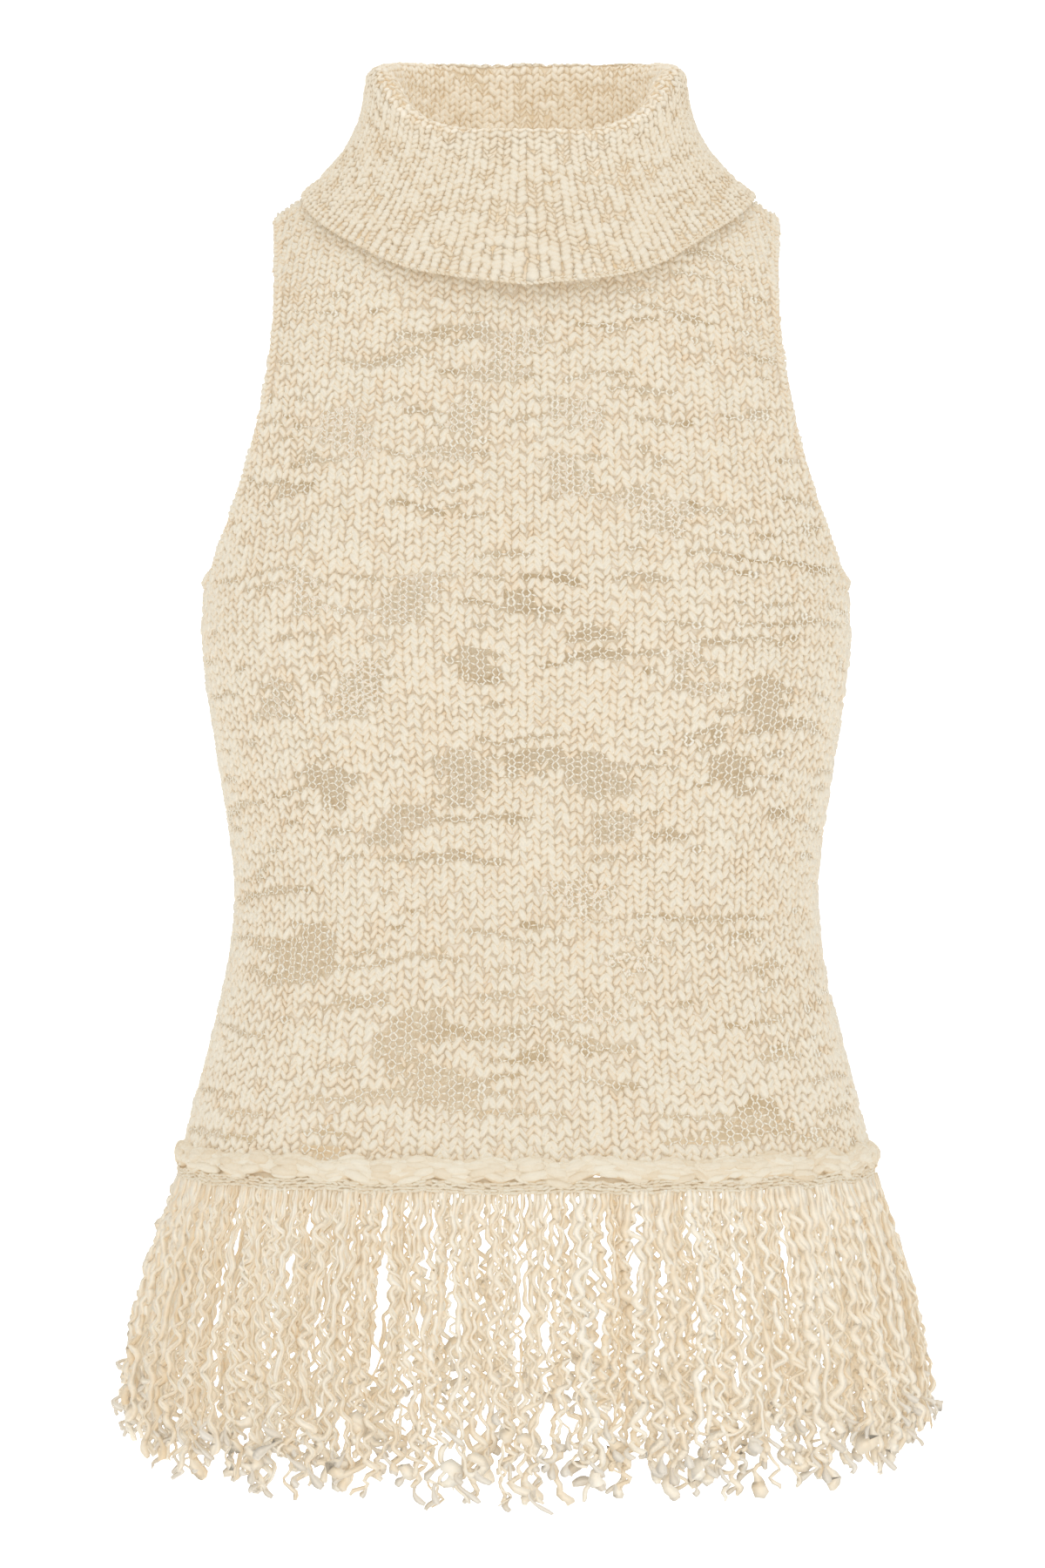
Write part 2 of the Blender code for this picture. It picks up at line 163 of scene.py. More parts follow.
# Net patches on the front, as pixels of the picture: column, row, half width, half height,
# and how pale the inside of the back is painted where it shows through them: painted light
FRONT_NETS = (
    (585, 405, 34, 20, 0.8),
    (395, 490, 30, 26, 0.8),
    (540, 475, 26, 18, 0.8),
    (665, 475, 30, 20, 0.8),
    (495, 540, 28, 18, 0.8),
    (650, 545, 30, 22, 0.8),
    (755, 590, 32, 20, 0.9),
    (350, 680, 28, 24, 0.9),
    (475, 683, 40, 22, 0.6),
    (545, 760, 24, 20, 0.0),
    (680, 740, 34, 22, 0.1),
    (415, 785, 34, 26, 1.0),
    (310, 800, 22, 26, 0.7),
    (800, 775, 30, 24, 0.8),
    (885, 800, 22, 28, 0.2),
    (370, 890, 30, 26, 0.0),
    (530, 885, 28, 22, 0.6),
    (690, 895, 34, 26, 0.5),
    (840, 880, 28, 26, 0.0),
    (460, 945, 30, 20, 0.5),
    (700, 950, 28, 20, 0.6),
    (670, 1025, 34, 26, 0.9),
    (725, 1100, 28, 24, 0.9),
    (690, 1150, 26, 20, 0.8),
    (350, 1100, 30, 28, 0.0),
    (480, 1180, 32, 22, 0.1),
    (450, 1200, 24, 18, 0.2),
    (500, 1240, 34, 24, 0.2),
    (870, 1280, 30, 20, 0.0),
    (380, 1300, 28, 18, 0.0),
)
PICTURE_SCALE = 0.000432  # metres a pixel, at the depth of the origin
PICTURE_COLUMN = 600.1  # straight ahead of the camera
PICTURE_ROW = 899
NET_DEPTH = 0.09  # of the front, where the nets were read
NET_PIXEL = 0.00042
BACK_NET_COUNT = 16
BACK_NETS_APART = 0.045
# Where the back shows from the front: its places are this much further out, and higher
BEHIND_SCALE = 1.073
BEHIND_RISE = 0.022
CLEAR_OF_FRONT_NETS = 0.034


def read(table, column, at):
    """A column of a table, on a smooth curve through its rows, at values of its first column."""
    keys = table[:, 0]
    values = table[:, column]
    slopes = np.empty(len(keys))
    slopes[1:-1] = (values[2:] - values[:-2]) / (keys[2:] - keys[:-2])
    slopes[0] = (values[1] - values[0]) / (keys[1] - keys[0])
    slopes[-1] = (values[-1] - values[-2]) / (keys[-1] - keys[-2])
    at = np.clip(at, keys[0], keys[-1])
    low = np.clip(np.searchsorted(keys, at, side="right") - 1, 0, len(keys) - 2)
    span = keys[low + 1] - keys[low]
    t = (at - keys[low]) / span
    rise = t * t * (3 - 2 * t)
    value = values[low] * (1 - rise) + values[low + 1] * rise
    return value + span * (slopes[low] * t * (1 - t) ** 2 - slopes[low + 1] * t * t * (1 - t))


def unit(vectors):
    return vectors / np.maximum(np.linalg.norm(vectors, axis=-1, keepdims=True), 1e-9)


def fold_depth(side, across, height):
    depth = np.zeros(np.broadcast(across, height).shape)
    for middle, fold_height, half_length, half_width, deep in FOLDS[side]:
        along = (height - fold_height) / half_length
        over = (across - middle) / half_width
        depth += deep / (1 + along**4 + over**2) ** 2
    return depth


def body_points(side, x, height):
    """Points on the outside of the body, at a distance x from the middle."""
    half_width = read(BODY_SECTIONS, 1, height)
    depth = read(BODY_SECTIONS, 2 if side == "front" else 3, height)
    across = np.clip(np.abs(x) / half_width, 0, 1)
    depth = depth - fold_depth(side, x / half_width, height)
    depth = depth * (1 - across**OVAL_POWER) ** (1 / OVAL_POWER)
    turned = np.clip((read(SHOULDER_LINE, 1, np.abs(x)) - height) / SHOULDER_ROLL, 0, 1)
    depth = depth * np.sqrt(1 - (1 - turned) ** 2)
    return np.stack([x, FORWARDS[side] * depth, height], -1)


def neck_height(side, x):
    shoulder = read(SHOULDER_LINE, 1, NECK_HALF_WIDTH)
    return shoulder - NECK_DROP[side] * (1 - (x / NECK_HALF_WIDTH) ** 2)


def frames(points, side):
    """Steps across and along a panel's grid of points, and the outward normals."""
    across = np.gradient(points, axis=1)
    along = np.gradient(points, axis=0)
    normal = unit(FORWARDS[side] * np.cross(along, across))
    return across, along, normal


def wale_x(place, height):
    angle = PI * place - read(WALE_GATHER, 1, height) * np.sin(2 * PI * place)
    return read(BODY_SECTIONS, 1, height) * np.sin(angle)


def course_heights(side, places):
    """The height of each course on each wale: level at first, then at even steps over the shoulder."""
    level = [HEM_HEIGHT + 0.0012]
    while level[-1] < LEVEL_TOP:
        level.append(level[-1] + float(read(COURSE_PITCH, 1, level[-1])))
    columns = []
    for place in places:
        top = -0.01
        for _ in range(3):
            top = float(read(SHOULDER_LINE, 1, abs(wale_x(place, top))))
        turn = np.linspace(0, PI / 2, 50)
        path = np.concatenate(
            [np.linspace(level[-1], top - SHOULDER_ROLL, 14)[:-1], top - SHOULDER_ROLL * (1 - np.sin(turn))]
        )
        points = body_points(side, wale_x(place, path), path)
        run = np.concatenate([[0], np.cumsum(np.linalg.norm(np.diff(points, axis=0), axis=1))])
        steps = np.linspace(0, run[-1], TOP_COURSES + 1)[1:]
        columns.append(np.concatenate([level, np.interp(steps, run, path)]))
    return np.array(columns).T


def course_wave(x, height):
    """How far a course strays up or down where slub yarn pulls it out of line."""
    wave = 0.0026 * np.sin(31 * x + 13 * height + 1) + 0.0016 * np.sin(67 * x - 45 * height)
    wave = wave + 0.0008 * np.sin(150 * x + 90 * height)
    return wave * np.clip((height - HEM_HEIGHT) / 0.05, 0, 1) * np.clip(-height / 0.08, 0, 1)


def knit_grid(side, places, start):
    """Points at every course of each wale. start is 0.5 for the middles of the courses."""
    heights = course_heights(side, places)
    whole = np.arange(len(heights))
    courses = np.arange(start, len(heights) - 1)
    heights = np.stack([np.interp(courses, whole, column) for column in heights.T], axis=1)
    heights = heights + course_wave(wale_x(places[None, :], heights), heights)
    return body_points(side, wale_x(places[None, :], heights), heights)


def on_panel(side, points, margin):
    x = np.abs(points[..., 0])
    z = points[..., 2]
    in_armhole = (z > UNDERARM_HEIGHT) & (x > read(ARMHOLE_EDGE, 1, z) - margin)
    in_neck = (x < NECK_HALF_WIDTH) & (z > neck_height(side, x) - margin)
    return ~(in_armhole | in_neck)


def under_collar(points, margin):
    """Where the fall of the collar hides the panel."""
    angle = np.degrees(np.arctan2(np.abs(points[..., 0]), -points[..., 1]))
    reach = np.hypot(points[..., 0] / EDGE_HALF_WIDTH, points[..., 1] / EDGE_DEPTH["front"])
    return (points[..., 2] > read(COLLAR_RAYS, 2, angle) + margin) & (reach < 0.93)


# ---------------------------------------------------------------- nets


def seen_at(column, row, depth):
    """x and height of a point on the front at that depth, from where it shows in the picture."""
    distance = -CAMERA_PLACE[1]
    scale = PICTURE_SCALE * (distance - depth) / distance
    x = CAMERA_PLACE[0] + (column - PICTURE_COLUMN) * scale
    return x, CAMERA_PLACE[2] - (row - PICTURE_ROW) * scale


def net_patches(side):
    """Middle x, middle height, half width, half height, slant and painted paleness behind each net patch."""
    rng = np.random.default_rng(31 if side == "front" else 32)
    patches = []
    if side == "front":
        for column, row, half_width, half_height, pale in FRONT_NETS:
            x, height = seen_at(column, row, NET_DEPTH)
            slant = rng.uniform(-0.5, 0.5)
            patches.append((x, height, half_width * NET_PIXEL, half_height * NET_PIXEL, slant, pale))
        return patches
    # A patch behind another would let the background through both.
    taken = [(BEHIND_SCALE * p[0], BEHIND_RISE + BEHIND_SCALE * p[1]) for p in net_patches("front")]
    while len(patches) < BACK_NET_COUNT:
        height = rng.uniform(-0.47, -0.06)
        x = rng.uniform(-0.8, 0.8) * float(read(BODY_SECTIONS, 1, height))
        clear = all(math.hypot(x - p[0], height - p[1]) > BACK_NETS_APART for p in patches)
        if clear and all(math.hypot(x - a, height - b) > CLEAR_OF_FRONT_NETS for a, b in taken):
            size = rng.uniform(0.009, 0.014)
            patches.append((x, height, size, size * rng.uniform(0.6, 0.9), rng.uniform(-0.5, 0.5), 0.5))
    return patches


def net_pull(side, points, by_painted_light=False, reach=1.35):
    """1, or the painted paleness of the cloth behind, in the middle of a net patch, falling to 0 a little way
    outside it.
    """
    value = np.zeros(points.shape[:-1])
    for x, height, half_width, half_height, slant, pale in net_patches(side):
        over = (points[..., 0] - x) / half_width
        up = (points[..., 2] - height - slant * (points[..., 0] - x)) / half_height
        within = np.clip((reach - np.hypot(over, up)) / 0.55, 0, 1)
        value = np.maximum(value, within * (pale if by_painted_light else 1))
    return value


# ---------------------------------------------------------------- materials


class Wire:
    """The output of a node, which can be added, multiplied and so on."""

    def __init__(self, graph, socket):
        self.graph = graph
        self.socket = socket

    def maths(self, operation, one, two):
        return self.graph.node("ShaderNodeMath", {0: one, 1: two}, operation=operation)

    def __add__(self, other):
        return self.maths("ADD", self, other)

    def __sub__(self, other):
        return self.maths("SUBTRACT", self, other)

    def __rsub__(self, other):
        return self.maths("SUBTRACT", other, self)

    def __mul__(self, other):
        return self.maths("MULTIPLY", self, other)

    __radd__ = __add__
    __rmul__ = __mul__


class Graph:
    """A node tree being built."""

    def __init__(self, tree):
        self.tree = tree

    def node(self, kind, inputs=(), output=0, **settings):
        """Makes a node, sets or links its inputs, and gives one of its outputs."""
        made = self.tree.nodes.new(kind)
        for name, value in settings.items():
            setattr(made, name, value)
        for name, value in dict(inputs).items():
            if isinstance(value, Wire):
                self.tree.links.new(value.socket, made.inputs[name])
            else:
                made.inputs[name].default_value = value
        return Wire(self, made.outputs[output])


def linear(red, green, blue):
    """A colour from its screen values, 0 to 255."""
    return tuple(((c / 255 + 0.055) / 1.055) ** 2.4 for c in (red, green, blue)) + (1.0,)


def blend(graph, share, first, second):
    return graph.node("ShaderNodeMix", {0: share, 6: first, 7: second}, output=2, data_type="RGBA")


def yarn_material(name, light, shadow, fibre_scale, fibre_depth, through):
    """Cotton yarn. Its shade attribute, painted light and shade with random tone, runs from the shadow colour
    to the light one.

    through is a painted glow: emission in the yarn's own colour, as a share of it, standing in for light that
    comes through the cloth from behind and lifting its shaded hollows.
    """
    material = bpy.data.materials.new(name)
    material.use_nodes = True
    graph = Graph(material.node_tree)
    shader = material.node_tree.nodes["Principled BSDF"]
    place = graph.node("ShaderNodeTexCoord", output="Object")
    shade = graph.node("ShaderNodeAttribute", attribute_name="shade", output="Fac")
    patches = graph.node("ShaderNodeTexNoise", {"Vector": place, "Scale": 38.0, "Detail": 3.0})
    flecks = graph.node("ShaderNodeTexNoise", {"Vector": place, "Scale": 700.0, "Detail": 2.0})
    tone = shade + (patches - 0.5) * 0.30 + (flecks - 0.5) * 0.35
    tone = graph.node("ShaderNodeClamp", {"Value": tone})
    colour = blend(graph, tone, linear(*shadow), linear(*light))
    fibres = graph.node(
        "ShaderNodeTexNoise", {"Vector": place, "Scale": fibre_scale, "Detail": 4.0, "Roughness": 0.65}
    )
    bump = graph.node("ShaderNodeBump", {"Height": fibres, "Distance": fibre_depth, "Strength": 0.8})
    links = material.node_tree.links
    links.new(colour.socket, shader.inputs["Base Color"])
    links.new(bump.socket, shader.inputs["Normal"])
    links.new((0.82 + fibres * 0.16).socket, shader.inputs["Roughness"])
    # Painted glow: the yarn glows in its own colour, as much as through says.
    links.new(colour.socket, shader.inputs["Emission Color"])
    shader.inputs["Emission Strength"].default_value = through
    shader.inputs["Sheen Weight"].default_value = 0.12
    shader.inputs["Sheen Roughness"].default_value = 0.6
    shader.inputs["Sheen Tint"].default_value = linear(255, 248, 235)
    shader.inputs["Specular IOR Level"].default_value = 0.25
    return material


# Each yarn: its light and shadow colours for the painted shade, fibre scale and depth, and its painted glow
# (emission) for light through the cloth.
knit_yarn = yarn_material("knit_yarn", (237, 229, 212), (232, 209, 176), 1500.0, 0.0003, 0.13)
collar_yarn = yarn_material("collar_yarn", (234, 225, 207), (223, 200, 165), 1700.0, 0.0003, 0.14)
# The inside of the collar glows more: painted light on the shaded inside of the neck.
inner_yarn = yarn_material("inner_yarn", (237, 228, 211), (217, 194, 157), 1700.0, 0.0003, 0.215)
thread_yarn = yarn_material("thread_yarn", (246, 241, 229), (239, 231, 213), 1500.0, 0.0003, 0.16)
# The ground: its near-white light colour and strong glow paint pale light where the back shows through the
# front's nets; its shadow colour paints the shade down between the stitches.
ground_yarn = yarn_material("ground_yarn", (251, 248, 242), (193, 176, 147), 900.0, 0.0004, 0.28)
roll_yarn = yarn_material("roll_yarn", (232, 224, 206), (216, 192, 156), 1300.0, 0.0003, 0.145)
# The fringe glows more: painted light that lifts the shade between its strands.
fringe_yarn = yarn_material("fringe_yarn", (243, 236, 221), (231, 210, 177), 2200.0, 0.0003, 0.205)
tip_yarn = yarn_material("tip_yarn", (236, 229, 216), (224, 213, 195), 2200.0, 0.0003, 0.14)

# ---------------------------------------------------------------- making pieces


def mesh_object(name, points, faces, material, shade=None):
    """A smooth mesh from arrays of points and faces, its faces outward as they are given."""
    data = bpy.data.meshes.new(name)
    faces = faces if isinstance(faces, list) else faces.tolist()
    data.from_pydata(np.reshape(points, (-1, 3)).tolist(), [], faces)
    if shade is not None:
        made = data.attributes.new("shade", "FLOAT", "POINT")
        made.data.foreach_set("value", np.ravel(shade).astype(np.float32))
    data.materials.append(material)
    data.shade_smooth()
    piece = bpy.data.objects.new(name, data)
    bpy.context.scene.collection.objects.link(piece)
    return piece


def grid_faces(rows, columns, closed_rows=False, closed_columns=False):
    """Four corners of each cell of a grid of points, row by row."""
    r = np.arange(rows if closed_rows else rows - 1)
    c = np.arange(columns if closed_columns else columns - 1)
    r, c = np.meshgrid(r, c, indexing="ij")
    up = (r + 1) % rows
    right = (c + 1) % columns
    corners = [r * columns + c, r * columns + right, up * columns + right, up * columns + c]
    return np.stack(corners, -1).reshape(-1, 4)


def laying_tree():
    """Lays one small rounded form at every point, turned and sized by the point's attributes."""
    tree = bpy.data.node_groups.new("laid_yarn", "GeometryNodeTree")
    for label, kind in (
        ("Geometry", "Geometry"),
        ("Segments", "Int"),
        ("Rings", "Int"),
        ("Material", "Material"),
        ("Rim shade", "Float"),
    ):
        tree.interface.new_socket(label, in_out="INPUT", socket_type="NodeSocket" + kind)
    tree.interface.new_socket("Geometry", in_out="OUTPUT", socket_type="NodeSocketGeometry")
    graph = Graph(tree)
    given = tree.nodes.new("NodeGroupInput")
    points, segments, rings, material, rim_shade = (Wire(graph, given.outputs[k]) for k in range(5))
    form = graph.node("GeometryNodeMeshUVSphere", {"Segments": segments, "Rings": rings, "Radius": 1.0})
    # lift: how far each point of the form stands from its sides and ends, used only for the painted rim shade
    place = graph.node("GeometryNodeInputPosition")
    lift = graph.node("ShaderNodeSeparateXYZ", {0: place}, output=1)
    lift = graph.node("ShaderNodeMath", {0: lift}, operation="ABSOLUTE")
    form = graph.node(
        "GeometryNodeStoreNamedAttribute",
        {"Geometry": form, "Name": "lift", "Value": lift},
        data_type="FLOAT",
    )
    turn = graph.node("GeometryNodeInputNamedAttribute", {"Name": "turn"}, data_type="FLOAT_VECTOR")
    size = graph.node("GeometryNodeInputNamedAttribute", {"Name": "size"}, data_type="FLOAT_VECTOR")
    turned = graph.node("FunctionNodeEulerToRotation", {0: turn})
    laid = graph.node(
        "GeometryNodeInstanceOnPoints",
        {"Points": points, "Instance": form, "Rotation": turned, "Scale": size},
    )
    real = graph.node("GeometryNodeRealizeInstances", {"Geometry": laid})
    # Painted shade: the sides and ends of each form, down between its neighbours, are painted darker than its
    # crest, by rim_shade.
    lift = graph.node("GeometryNodeInputNamedAttribute", {"Name": "lift"}, data_type="FLOAT")
    shade = graph.node("GeometryNodeInputNamedAttribute", {"Name": "shade"}, data_type="FLOAT")
    toned = graph.node(
        "GeometryNodeStoreNamedAttribute",
        {"Geometry": real, "Name": "shade", "Value": shade + (lift - 0.55) * rim_shade},
        data_type="FLOAT",
    )
    smooth = graph.node("GeometryNodeSetShadeSmooth", {"Geometry": toned})
    painted = graph.node("GeometryNodeSetMaterial", {"Geometry": smooth, "Material": material})
    result = tree.nodes.new("NodeGroupOutput")
    tree.links.new(painted.socket, result.inputs[0])
    return tree


LAYING = laying_tree()


def lay_yarn(name, points, outward, along, size, shade, material, segments, rings, rim_shade):
    """A small rounded form at each point, its length along one direction and facing outward."""
    long_axis = unit(along)
    face = unit(outward - long_axis * np.sum(outward * long_axis, -1, keepdims=True))
    wide = np.cross(face, long_axis)
    turn = np.stack(
        [
            np.arctan2(face[:, 2], long_axis[:, 2]),
            -np.arcsin(np.clip(wide[:, 2], -1, 1)),
            np.arctan2(wide[:, 1], wide[:, 0]),
        ],
        -1,
    )
    data = bpy.data.meshes.new(name + "_points")
    data.from_pydata(points.tolist(), [], [])
    for label, kind, values in (("turn", "FLOAT_VECTOR", turn), ("size", "FLOAT_VECTOR", size)):
        made = data.attributes.new(label, kind, "POINT")
        made.data.foreach_set("vector", np.ravel(values).astype(np.float32))
    made = data.attributes.new("shade", "FLOAT", "POINT")
    made.data.foreach_set("value", np.ravel(shade).astype(np.float32))
    piece = bpy.data.objects.new(name, data)
    bpy.context.scene.collection.objects.link(piece)
    modifier = piece.modifiers.new("laid_yarn", "NODES")
    modifier.node_group = LAYING
    names = {item.name: item.identifier for item in LAYING.interface.items_tree if item.in_out == "INPUT"}
    modifier[names["Segments"]] = segments
    modifier[names["Rings"]] = rings
    modifier[names["Material"]] = material
    modifier[names["Rim shade"]] = rim_shade
    bpy.context.view_layer.update()
    graph = bpy.context.evaluated_depsgraph_get()
    baked = bpy.data.meshes.new_from_object(piece.evaluated_get(graph))
    piece.modifiers.clear()
    piece.data = baked
    for label in ("turn", "size", "lift"):
        if label in baked.attributes:
            baked.attributes.remove(baked.attributes[label])
    if not baked.materials:
        baked.materials.append(material)
    return piece


def streaks(shape, rng, reach, tall, slant=0.0):
    """Smooth noise of variance 1, drawn out over so many columns and rows."""
    rows, columns = shape
    noise = rng.normal(0, 1, (rows + 4 * tall, columns + 4 * reach))
    for axis, size in ((1, reach), (0, tall)):
        window = np.hanning(2 * size + 1)
        noise = np.apply_along_axis(lambda line: np.convolve(line, window, "same"), axis, noise)
    noise = np.stack([np.roll(line, int(k * slant)) for k, line in enumerate(noise)])
    noise = noise[2 * tall : 2 * tall + rows, 2 * reach : 2 * reach + columns]
    return noise / noise.std()


def smooth_step(value):
    value = np.clip(value, 0, 1)
    return value * value * (3 - 2 * value)


def slub(side, middles, rng):
    """How thick the yarn runs at each stitch of a panel, from 0 for a thread to 1 and more."""
    runs = 0.74 * streaks(middles.shape[:2], rng, 5, 1, 0.3) + 0.45 * streaks(middles.shape[:2], rng, 2, 1)
    runs = runs + 0.40 * streaks(middles.shape[:2], rng, 6, 2) + 0.2 * rng.normal(0, 1, runs.shape)
    runs = runs - 2.6 * net_pull(side, middles)
    return smooth_step((runs + 1.38) / 1.1) + 0.16 * np.clip(runs - 0.3, 0, 1.6)


def new_stores():
    return [[] for _ in range(5)]


def put(stores, values, shown=None):
    """Adds places, outward and lengthwise directions, sizes and shades to the lists for laid yarn."""
    for store, value in zip(stores, values):
        value = value if shown is None else value[shown]
        store.append(value.reshape(-1, 3) if value.shape[-1] == 3 else value.reshape(-1))


def lay_lots(name, stores, material, segments=4, rings=3, rim_shade=0.42):
    lots = [np.concatenate(store) for store in stores]
    return lay_yarn(name, *lots, material, segments, rings, rim_shade)


def stitches(side, middles, thick, rng):
    """Both legs of every stitch of a panel, puffy where the yarn is thick."""
    across, along, normal = frames(middles, side)
    shown = on_panel(side, middles, -0.0006) & ~under_collar(middles, 0.006)
    wide = np.linalg.norm(across, axis=-1)
    tall = np.linalg.norm(along, axis=-1)
    alternate = np.where(np.arange(middles.shape[0]) % 2, 1.0, -1.0)[:, None]
    stray = 0.16 * streaks(thick.shape, rng, 1, 5)
    halves = (new_stores(), new_stores())
    threads = new_stores()
    for way in (-1, 1):
        own = rng.normal(0, 1, thick.shape)
        full = np.clip(thick + 0.12 * own, 0, 1.3)
        thin = thick < THIN_BELOW
        girth = (0.60 + 0.44 * full) * (1 + 0.15 * rng.normal(0, 1, thick.shape))
        lean = way * BEAD_LEAN * (1 + 0.2 * rng.normal(0, 1, thick.shape))
        lean = np.where(thin, way * alternate * 0.26, lean)
        direction = along * np.where(thin, 1.0, BEAD_REACH)[..., None] + across * lean[..., None]
        shift = way * BEAD_APART + 0.045 * rng.normal(0, 1, thick.shape)
        centre = middles + across * shift[..., None] - normal * (BEAD_SINK + 0.0004 * (1 - full))[..., None]
        centre = centre + along * (stray + 0.15 * rng.normal(0, 1, thick.shape))[..., None]
        long = BEAD_HALF_LENGTH * np.linalg.norm(direction, axis=-1)
        size = [
            np.where(thin, THREAD_RADIUS, BEAD_HALF_WIDTH * np.minimum(wide, 2.1 * tall) * girth),
            np.where(thin, THREAD_RADIUS, BEAD_HALF_DEPTH * (0.35 + 0.65 * full)),
            np.where(thin, 0.82 * tall, long * (0.92 + 0.1 * full)),
        ]
        # Painted shade with random tone: thin stitches, which lie lower, are painted darker.
        shade = np.clip(0.55 + 0.30 * full + 0.10 * own, 0, 1)
        values = (centre, normal, direction, np.stack(size, -1), shade)
        for stores, rows in zip(halves, (slice(0, len(middles) // 2), slice(len(middles) // 2, None))):
            put(stores, [value[rows] for value in values], (shown & ~thin)[rows])
        if side == "back":
            put(threads, values, shown & thin)
            continue
        for half in (-1, 1):
            # Two short threads to each side of a round opening
            direction = along * 0.5 - across * (way * half * (0.17 + 0.04 * own))[..., None]
            sideways = way * (0.19 + 0.03 * rng.normal(0, 1, thick.shape))
            centre = middles + across * sideways[..., None] + along * half * 0.25 - normal * BEAD_SINK
            centre = centre + along * stray[..., None] * 0.5
            long = 0.6 * np.linalg.norm(direction, axis=-1)
            thread = (THREAD_RADIUS + 0.00050 * thick / THIN_BELOW) * rng.uniform(0.8, 1.2, thick.shape)
            size = np.stack([thread, thread, long], -1)
            put(threads, (centre, normal, direction, size, shade), shown & thin)
    lower, upper = halves
    return [
        lay_lots(f"{side}_stitches_lower", lower, knit_yarn),
        lay_lots(f"{side}_stitches_upper", upper, knit_yarn),
        lay_lots(f"{side}_threads", threads, thread_yarn, 3, rim_shade=0.0),
    ]


def bars(side, middles, thick, rng):
    """The short bars between stitches, which show as threads where the yarn runs thin."""
    across, along, normal = frames(middles, side)
    shown = on_panel(side, middles, 0.001) & ~under_collar(middles, 0.006)
    wide = np.linalg.norm(across, axis=-1)
    tall = np.linalg.norm(along, axis=-1)
    lots = {}
    for shift in (0.0, 0.5):
        thin = thick < THIN_BELOW
        chosen = shown & (thin if shift == 0 else thick < 0.72)
        down = np.where(thin & (shift > 0), 0.0, 0.5)[..., None]
        centre = middles + across * shift - along * down - normal * (GROUND_SINK - 0.0005)
        centre = centre + along * (0.10 * rng.normal(0, 1, thick.shape))[..., None]
        direction = across + along * (0.30 * rng.normal(0, 1, thick.shape))[..., None]
        size = [
            np.where(thin, THREAD_RADIUS * 0.9, 0.30 * tall),
            np.where(thin, THREAD_RADIUS * 0.9, 0.0009),
            wide * np.where(thin, 0.13 + 0.28 * shift, 0.20),
        ]
        shade = np.clip(rng.normal(0.6, 0.2, thick.shape), 0, 1)
        values = (centre, normal, direction, np.stack(size, -1), shade)
        for kind, wanted in (("bars", chosen & ~thin), ("nets", chosen & thin)):
            put(lots.setdefault(kind, new_stores()), values, wanted)
    materials = {"bars": knit_yarn, "nets": thread_yarn}
    return [lay_lots(f"{side}_{kind}", stores, materials[kind], rings=2) for kind, stores in lots.items()]


# ---------------------------------------------------------------- panels

OPENING_REACH_X = 0.0090
OPENING_REACH_Z = 0.0050
WHOLE_NEAR_EDGE = 0.010  # the ground has no openings this close to a panel's edge
WHOLE_ABOVE = -0.050


def ahead_on_front(points):
    """Where the front lies on straight lines from the photograph's viewpoint to points of the back."""
    ahead = points
    for _ in range(3):
        ahead = body_points("front", ahead[..., 0], ahead[..., 2])
        share = (ahead[..., 1] - CAMERA_PLACE[1]) / (points[..., 1] - CAMERA_PLACE[1])
        ahead = CAMERA_PLACE + (points - CAMERA_PLACE) * share[..., None]
    return ahead


def behind_openings(points, openings):
    """Where the back shows through an opening of the front in the photograph: no white shows there."""
    ahead = ahead_on_front(points)
    behind = np.zeros(len(points), bool)
    for x, _, z in openings:
        behind |= (np.abs(ahead[:, 0] - x) < OPENING_REACH_X) & (np.abs(ahead[:, 2] - z) < OPENING_REACH_Z)
    return behind


def ground(side, thick, rng, openings):
    """The knit behind the puffy legs: a single layer, left open where the yarn is only threads."""
    places = np.linspace(-0.5, 0.5, 2 * WALES + 1)
    points = knit_grid(side, places, 0.0)
    x = points[..., 0]
    height = points[..., 2]
    edge = np.where(height > UNDERARM_HEIGHT, read(ARMHOLE_EDGE, 1, height), 1.0)
    beyond = np.abs(x) > edge
    points = body_points(side, np.clip(x, -edge, edge), height)
    normal = frames(knit_grid(side, places, 0.0), side)[2]
    laid = points - normal * GROUND_SINK
    laid[..., 1] = FORWARDS[side] * np.maximum(np.abs(laid[..., 1]), SEAM_GAP / 2)
    rows, columns = beyond.shape
    own = np.pad(thick, ((1, 1), (1, 1)), mode="edge")
    own = (own[:-1] + own[1:]) / 2
    own = np.repeat(own, 2, axis=1)[:rows, 1 : columns + 1]
    # Painted shade: the ground, down between the stitches, is painted mostly in its shadow colour, a little
    # lighter where the yarn is thick.
    shade = np.clip(own * 0.4 + rng.normal(0, 0.08, own.shape), 0, 1)
    if side == "back":
        # Painted light: where the back shows through the front's nets, its inside is painted pale, up to the
        # ground's near-white light colour.
        shade = np.maximum(0.6 * shade, net_pull("front", ahead_on_front(points), True, 1.9))
    faces = grid_faces(rows, columns)
    middles = laid.reshape(-1, 3)[faces].mean(axis=1)
    keep = ~beyond.reshape(-1)[faces].all(axis=1)
    knitted = np.repeat(thick[: rows - 1] >= THIN_BELOW, 2, axis=1).reshape(-1)
    across = np.abs(middles[:, 0])
    height = middles[:, 2]
    side_edge = 0.94 * read(BODY_SECTIONS, 1, height)
    width = np.where(height > UNDERARM_HEIGHT, read(ARMHOLE_EDGE, 1, height), side_edge)
    knitted |= (across > width - WHOLE_NEAR_EDGE) | (height > WHOLE_ABOVE)
    if side == "back":
        knitted |= behind_openings(middles, openings)
    keep &= knitted
    keep &= ~((across < NECK_HALF_WIDTH) & (height > neck_height(side, middles[:, 0])))
    if side == "back":
        faces = faces[:, ::-1]
    return mesh_object(f"{side}_ground", laid, faces[keep], ground_yarn, shade)


